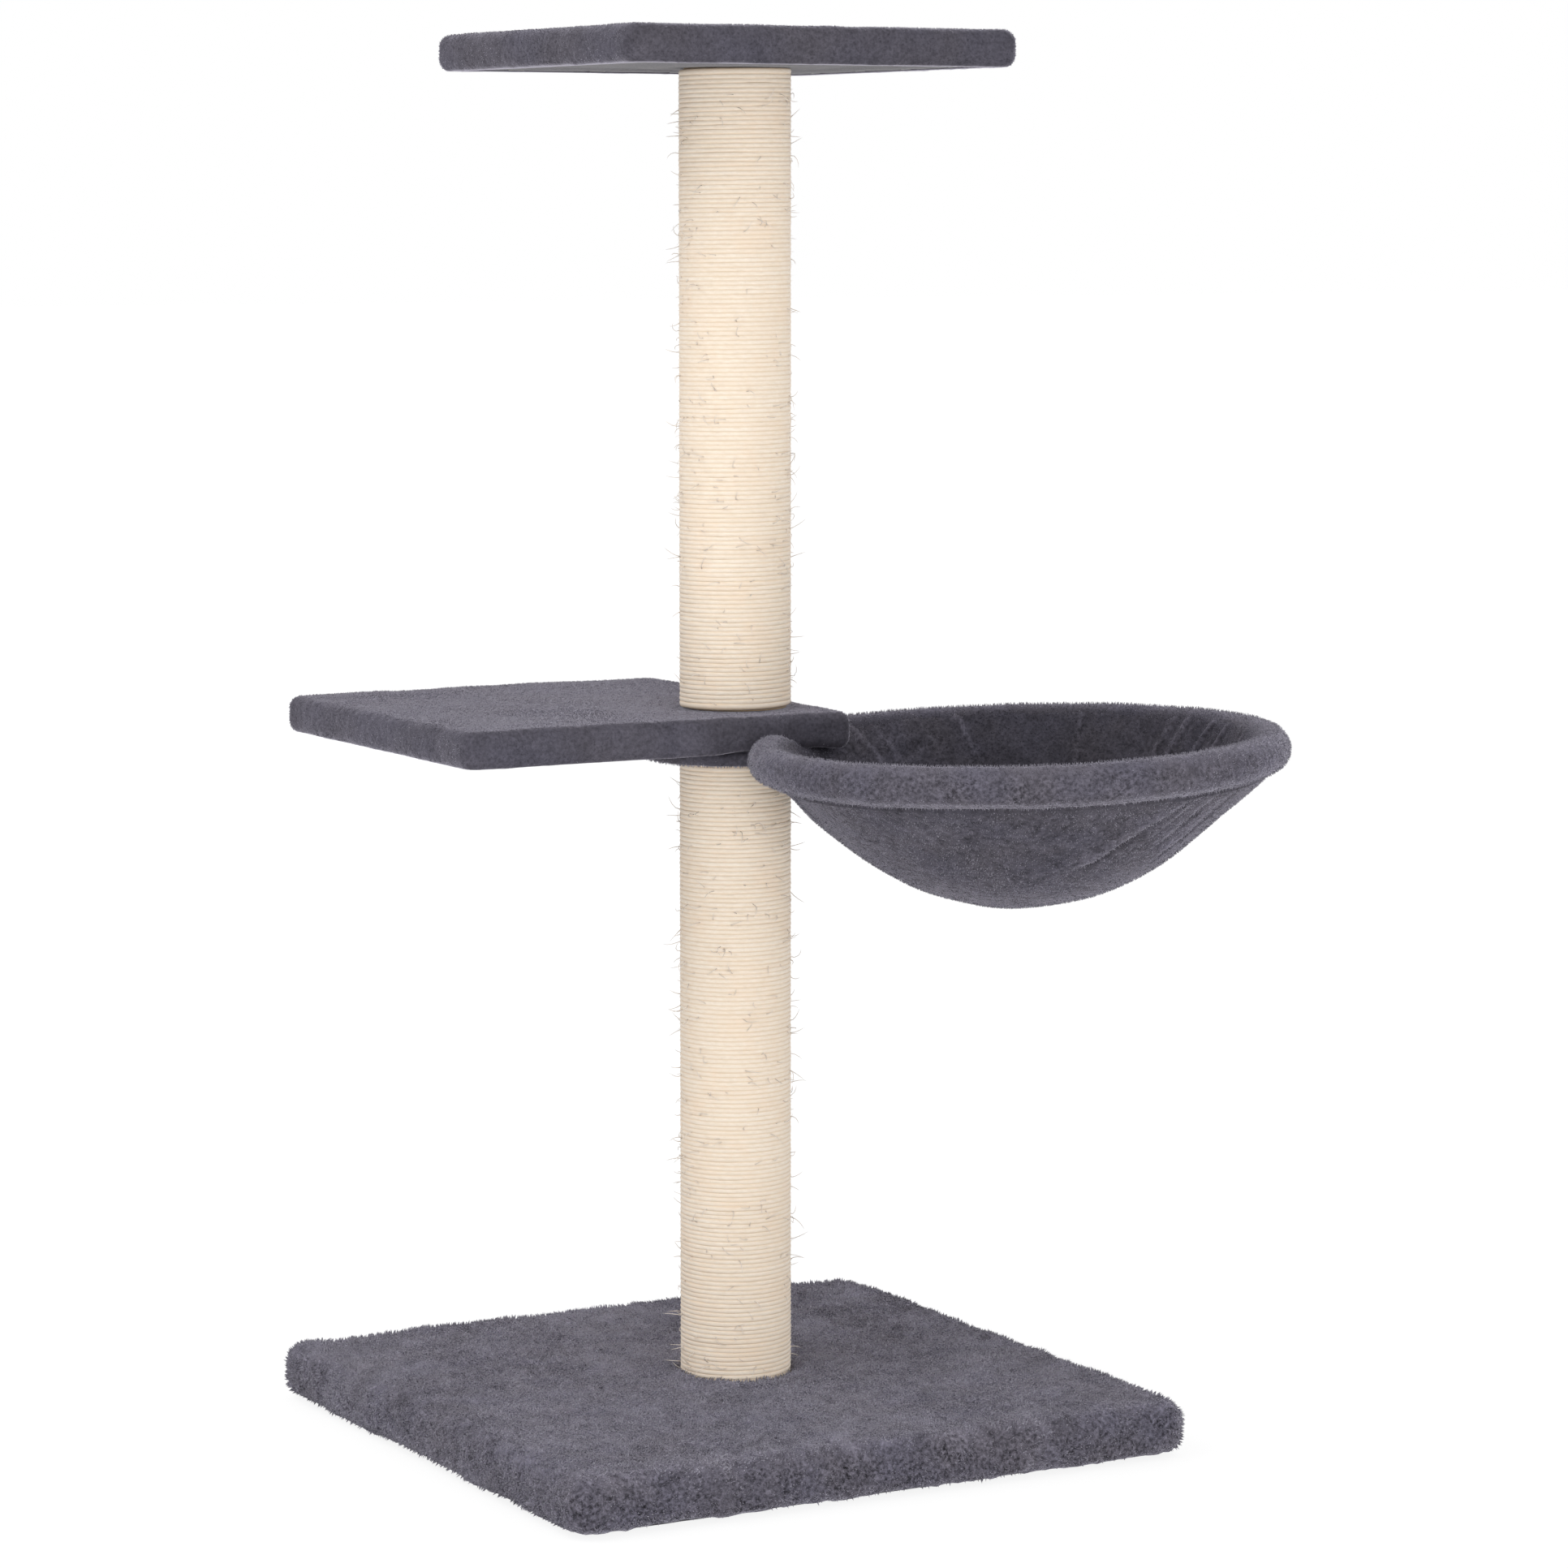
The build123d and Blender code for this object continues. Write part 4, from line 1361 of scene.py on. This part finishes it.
POUCH_STEPS = 220
POUCH_RINGS = 30
POUCH_BENDS = 7
POUCH_EDGE = 3 * MM
POUCH_HOLE = 4.6 * MM
POUCH_SUNK = 0.4 * MM  # below its pile, and below the platform
POUCH_LIFT = 0.3 * MM
POUCH_SAG = 1.5 * MM
SAG_START = 2 * MM  # beyond the post that it stands on
POUCH_UNEVEN = -8 * MM, 6 * MM  # against its side
POUCH_ROUGH, POUCH_ROUGH_SIZE = 0.5 * MM, 9 * MM
POUCH_SHRUNK = 0.2 * MM
POUCH_BARE = 1 * MM  # no pile nearer to the rope and to the platform


def pouch_profile(radius, low, high):
    """(reach, height) of the pouch's section, from its hole out below and back in on top."""
    half = (high - low) / 2
    flat = np.linspace(POUCH_HOLE, radius - POUCH_EDGE, POUCH_RINGS)
    bend = np.linspace(-TURN / 4, TURN / 4, POUCH_BENDS + 2)[1:-1]
    edge = [radius - POUCH_EDGE, low + half] + np.array([POUCH_EDGE, half]) * aim(bend).T
    return np.concatenate([[(reach, low) for reach in flat], edge, [(reach, high) for reach in flat[::-1]]])


def bracket_pouch():
    """The round plush pouch round the bracket's plate, between the lower post and the platform."""
    radius = BRACKET_RADIUS - POUCH_SUNK
    low, high = BRACKET_FOOT + POUCH_LIFT, MIDDLE.foot - POUCH_SUNK
    profile = pouch_profile(radius, low, high)
    points = revolve(profile, POUCH_STEPS)
    away = points[:, :2] - RING_CENTRE
    distance = np.linalg.norm(away, axis=1)
    points[:, :2] = RING_CENTRE + away * (np.maximum(distance, RING_RADIUS) / distance)[:, None]
    half = (high - low) / 2
    lower = smooth((low + half - points[:, 2]) / half + 0.5)
    points[:, 2] -= POUCH_SAG * lower * fade(reach_of(points), ROPE_RADIUS, SAG_START)
    faces = grid_faces(len(profile), POUCH_STEPS, wrap_rows=True, wrap_columns=True)
    pouch = add_piece("bracket_plush", MIDDLE_BODY, points, [faces],
                      POUCH_PLUSH.material)
    give(pouch, "shade", np.zeros(len(points)))
    side = fade(np.repeat(profile[:, 0], POUCH_STEPS) - radius, *POUCH_UNEVEN)
    displace(pouch, side * (POUCH_ROUGH * noise(points, POUCH_ROUGH_SIZE, seed=71) - POUCH_SHRUNK))
    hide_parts("bracket_cover")
    seen = (reach_of(points) > ROPE_RADIUS + POUCH_BARE) & (points[:, 2] < high - POUCH_BARE)
    add_pile("bracket_pile", MIDDLE_BODY, POUCH_PLUSH, pouch, quads_within(faces, seen), (72, 73))


bracket_pouch()

# ---- CAD pieces that stay ----

POSTS = ["lower_post", "upper_post"]
ENDS = ["foot", "head"]
CUSHIONS = ["base", "middle_platform", "top_platform"]
CAD_MATERIALS = [
    (new_material("fibreboard", fibreboard), [f"{name}_board" for name in CUSHIONS]),
    (new_material("softwood", softwood), [f"{post}_{end}_plug" for post in POSTS for end in ENDS]),
    (new_material("cardboard", cardboard), [f"{post}_tube" for post in POSTS]),
    (new_material("zinc_steel", zinc_steel), [
        *(f"{name}_staples" for name in CUSHIONS), "rope_staples",
        *(f"{post}_{end}_tee_nut" for post in POSTS for end in ENDS),
        "base_carriage_bolt", "middle_stud", "top_carriage_bolt",
    ]),
    (new_material("powder_coat", powder_coat), ["hammock_frame"]),
]
for cad_material, node_names in CAD_MATERIALS:
    for node_name in node_names:
        slots = frame["nodes"][node_name].data.materials
        slots.clear()
        slots.append(cad_material)

# ---- floor, light and camera ----

FLOOR_SIZE = 30.0
FLOOR_DROP = 0.0005  # below the base, so that the two faces don't coincide
FLOOR_GREY = 0.93
FLOOR_GLOW = 1.06
SHADOW_REACH = 0.3, 1.2  # distances between which the floor's shadows fade out for the camera
SHADOW_WHITE = 0.82, 1.0  # the share of plain white there
DOME_LIGHT, DOME_WHITE = 0.87, 1.0  # what lights the object, and what the camera sees
CAMERA_PLACE = -1.4351, -2.6309, 0.7284
CAMERA_YAW, CAMERA_DIP = np.radians(29.161), np.radians(4.793)  # to the right of +Y, and downwards
LENS_LENGTH, LENS_SHIFT = 117.267, -0.1  # millimetres on a sensor 36 wide, and a share of its width


def stand(thing, place, look):
    """Puts a light or a camera in the scene, facing a direction."""
    holder = bpy.data.objects.new(thing.name, thing)
    bpy.context.scene.collection.objects.link(holder)
    holder.location = place
    holder.rotation_mode = "QUATERNION"
    holder.rotation_quaternion = look.to_track_quat("-Z", "Y")
    return holder


def floor():
    """A plain pale floor that the camera sees as white, with a faint shadow near the object."""
    material = bpy.data.materials.new("studio_floor")
    nodes = Nodes(material)
    shader = nodes.tree.nodes["Principled BSDF"]
    nodes.fill(shader, {"Base Color": grey(FLOOR_GREY), "Roughness": 0.9})
    away = nodes.add("ShaderNodeVectorMath", {0: nodes.place}, operation="LENGTH").outputs["Value"]
    share = nodes.times(nodes.seen(), nodes.ramp(away, *SHADOW_REACH, *SHADOW_WHITE))
    white = nodes.add("ShaderNodeEmission", {"Color": grey(1), "Strength": FLOOR_GLOW}).outputs[0]
    mixed = nodes.add("ShaderNodeMixShader", {0: share, 1: shader.outputs[0], 2: white}).outputs[0]
    nodes.fill(nodes.tree.nodes["Material Output"], {"Surface": mixed})
    mesh = bpy.data.meshes.new("studio_floor")
    signs = (-1, -1), (1, -1), (1, 1), (-1, 1)
    mesh.from_pydata([(FLOOR_SIZE * x, FLOOR_SIZE * y, 0) for x, y in signs], [], [(0, 1, 2, 3)])
    mesh.materials.append(material)
    ground = bpy.data.objects.new("studio_floor", mesh)
    bpy.context.scene.collection.objects.link(ground)
    ground.location.z = -FLOOR_DROP


def world():
    """An even grey dome that the camera sees as white."""
    dome = bpy.data.worlds.new("studio")
    bpy.context.scene.world = dome
    nodes = Nodes(dome)
    strength = nodes.ramp(nodes.seen(), 0.0, 1.0, DOME_LIGHT, DOME_WHITE)
    nodes.fill(nodes.tree.nodes["Background"], {"Color": grey(1), "Strength": strength})


def area_light(name, place, target, size, power):
    """A round soft light at a place, facing a target."""
    light = bpy.data.lights.new(name, "AREA")
    light.shape = "DISK"
    light.size = size
    light.energy = power
    stand(light, place, Vector(target) - Vector(place))


def camera():
    """The photograph's view: slightly from above, from the front left."""
    lens = bpy.data.cameras.new("camera")
    lens.lens = LENS_LENGTH
    lens.sensor_width = 36.0
    lens.shift_y = LENS_SHIFT
    right = np.sin(CAMERA_YAW) * np.cos(CAMERA_DIP)
    ahead = np.cos(CAMERA_YAW) * np.cos(CAMERA_DIP)
    look = Vector((right, ahead, -np.sin(CAMERA_DIP)))
    bpy.context.scene.camera = stand(lens, CAMERA_PLACE, look)


floor()
world()
area_light("key", place=(-1.9, 0.2, 2.6), target=(0, 0, 0.4), size=2.0, power=20.5)
area_light("fill", place=(-1.0, -2.4, 0.5), target=(0, 0, 0.3), size=1.6, power=10.8)
area_light("low", place=(-0.3, -1.95, 0.15), target=(0, 0, 0.1), size=1.0, power=9.2)
camera()
bpy.context.scene.view_settings.view_transform = "Standard"
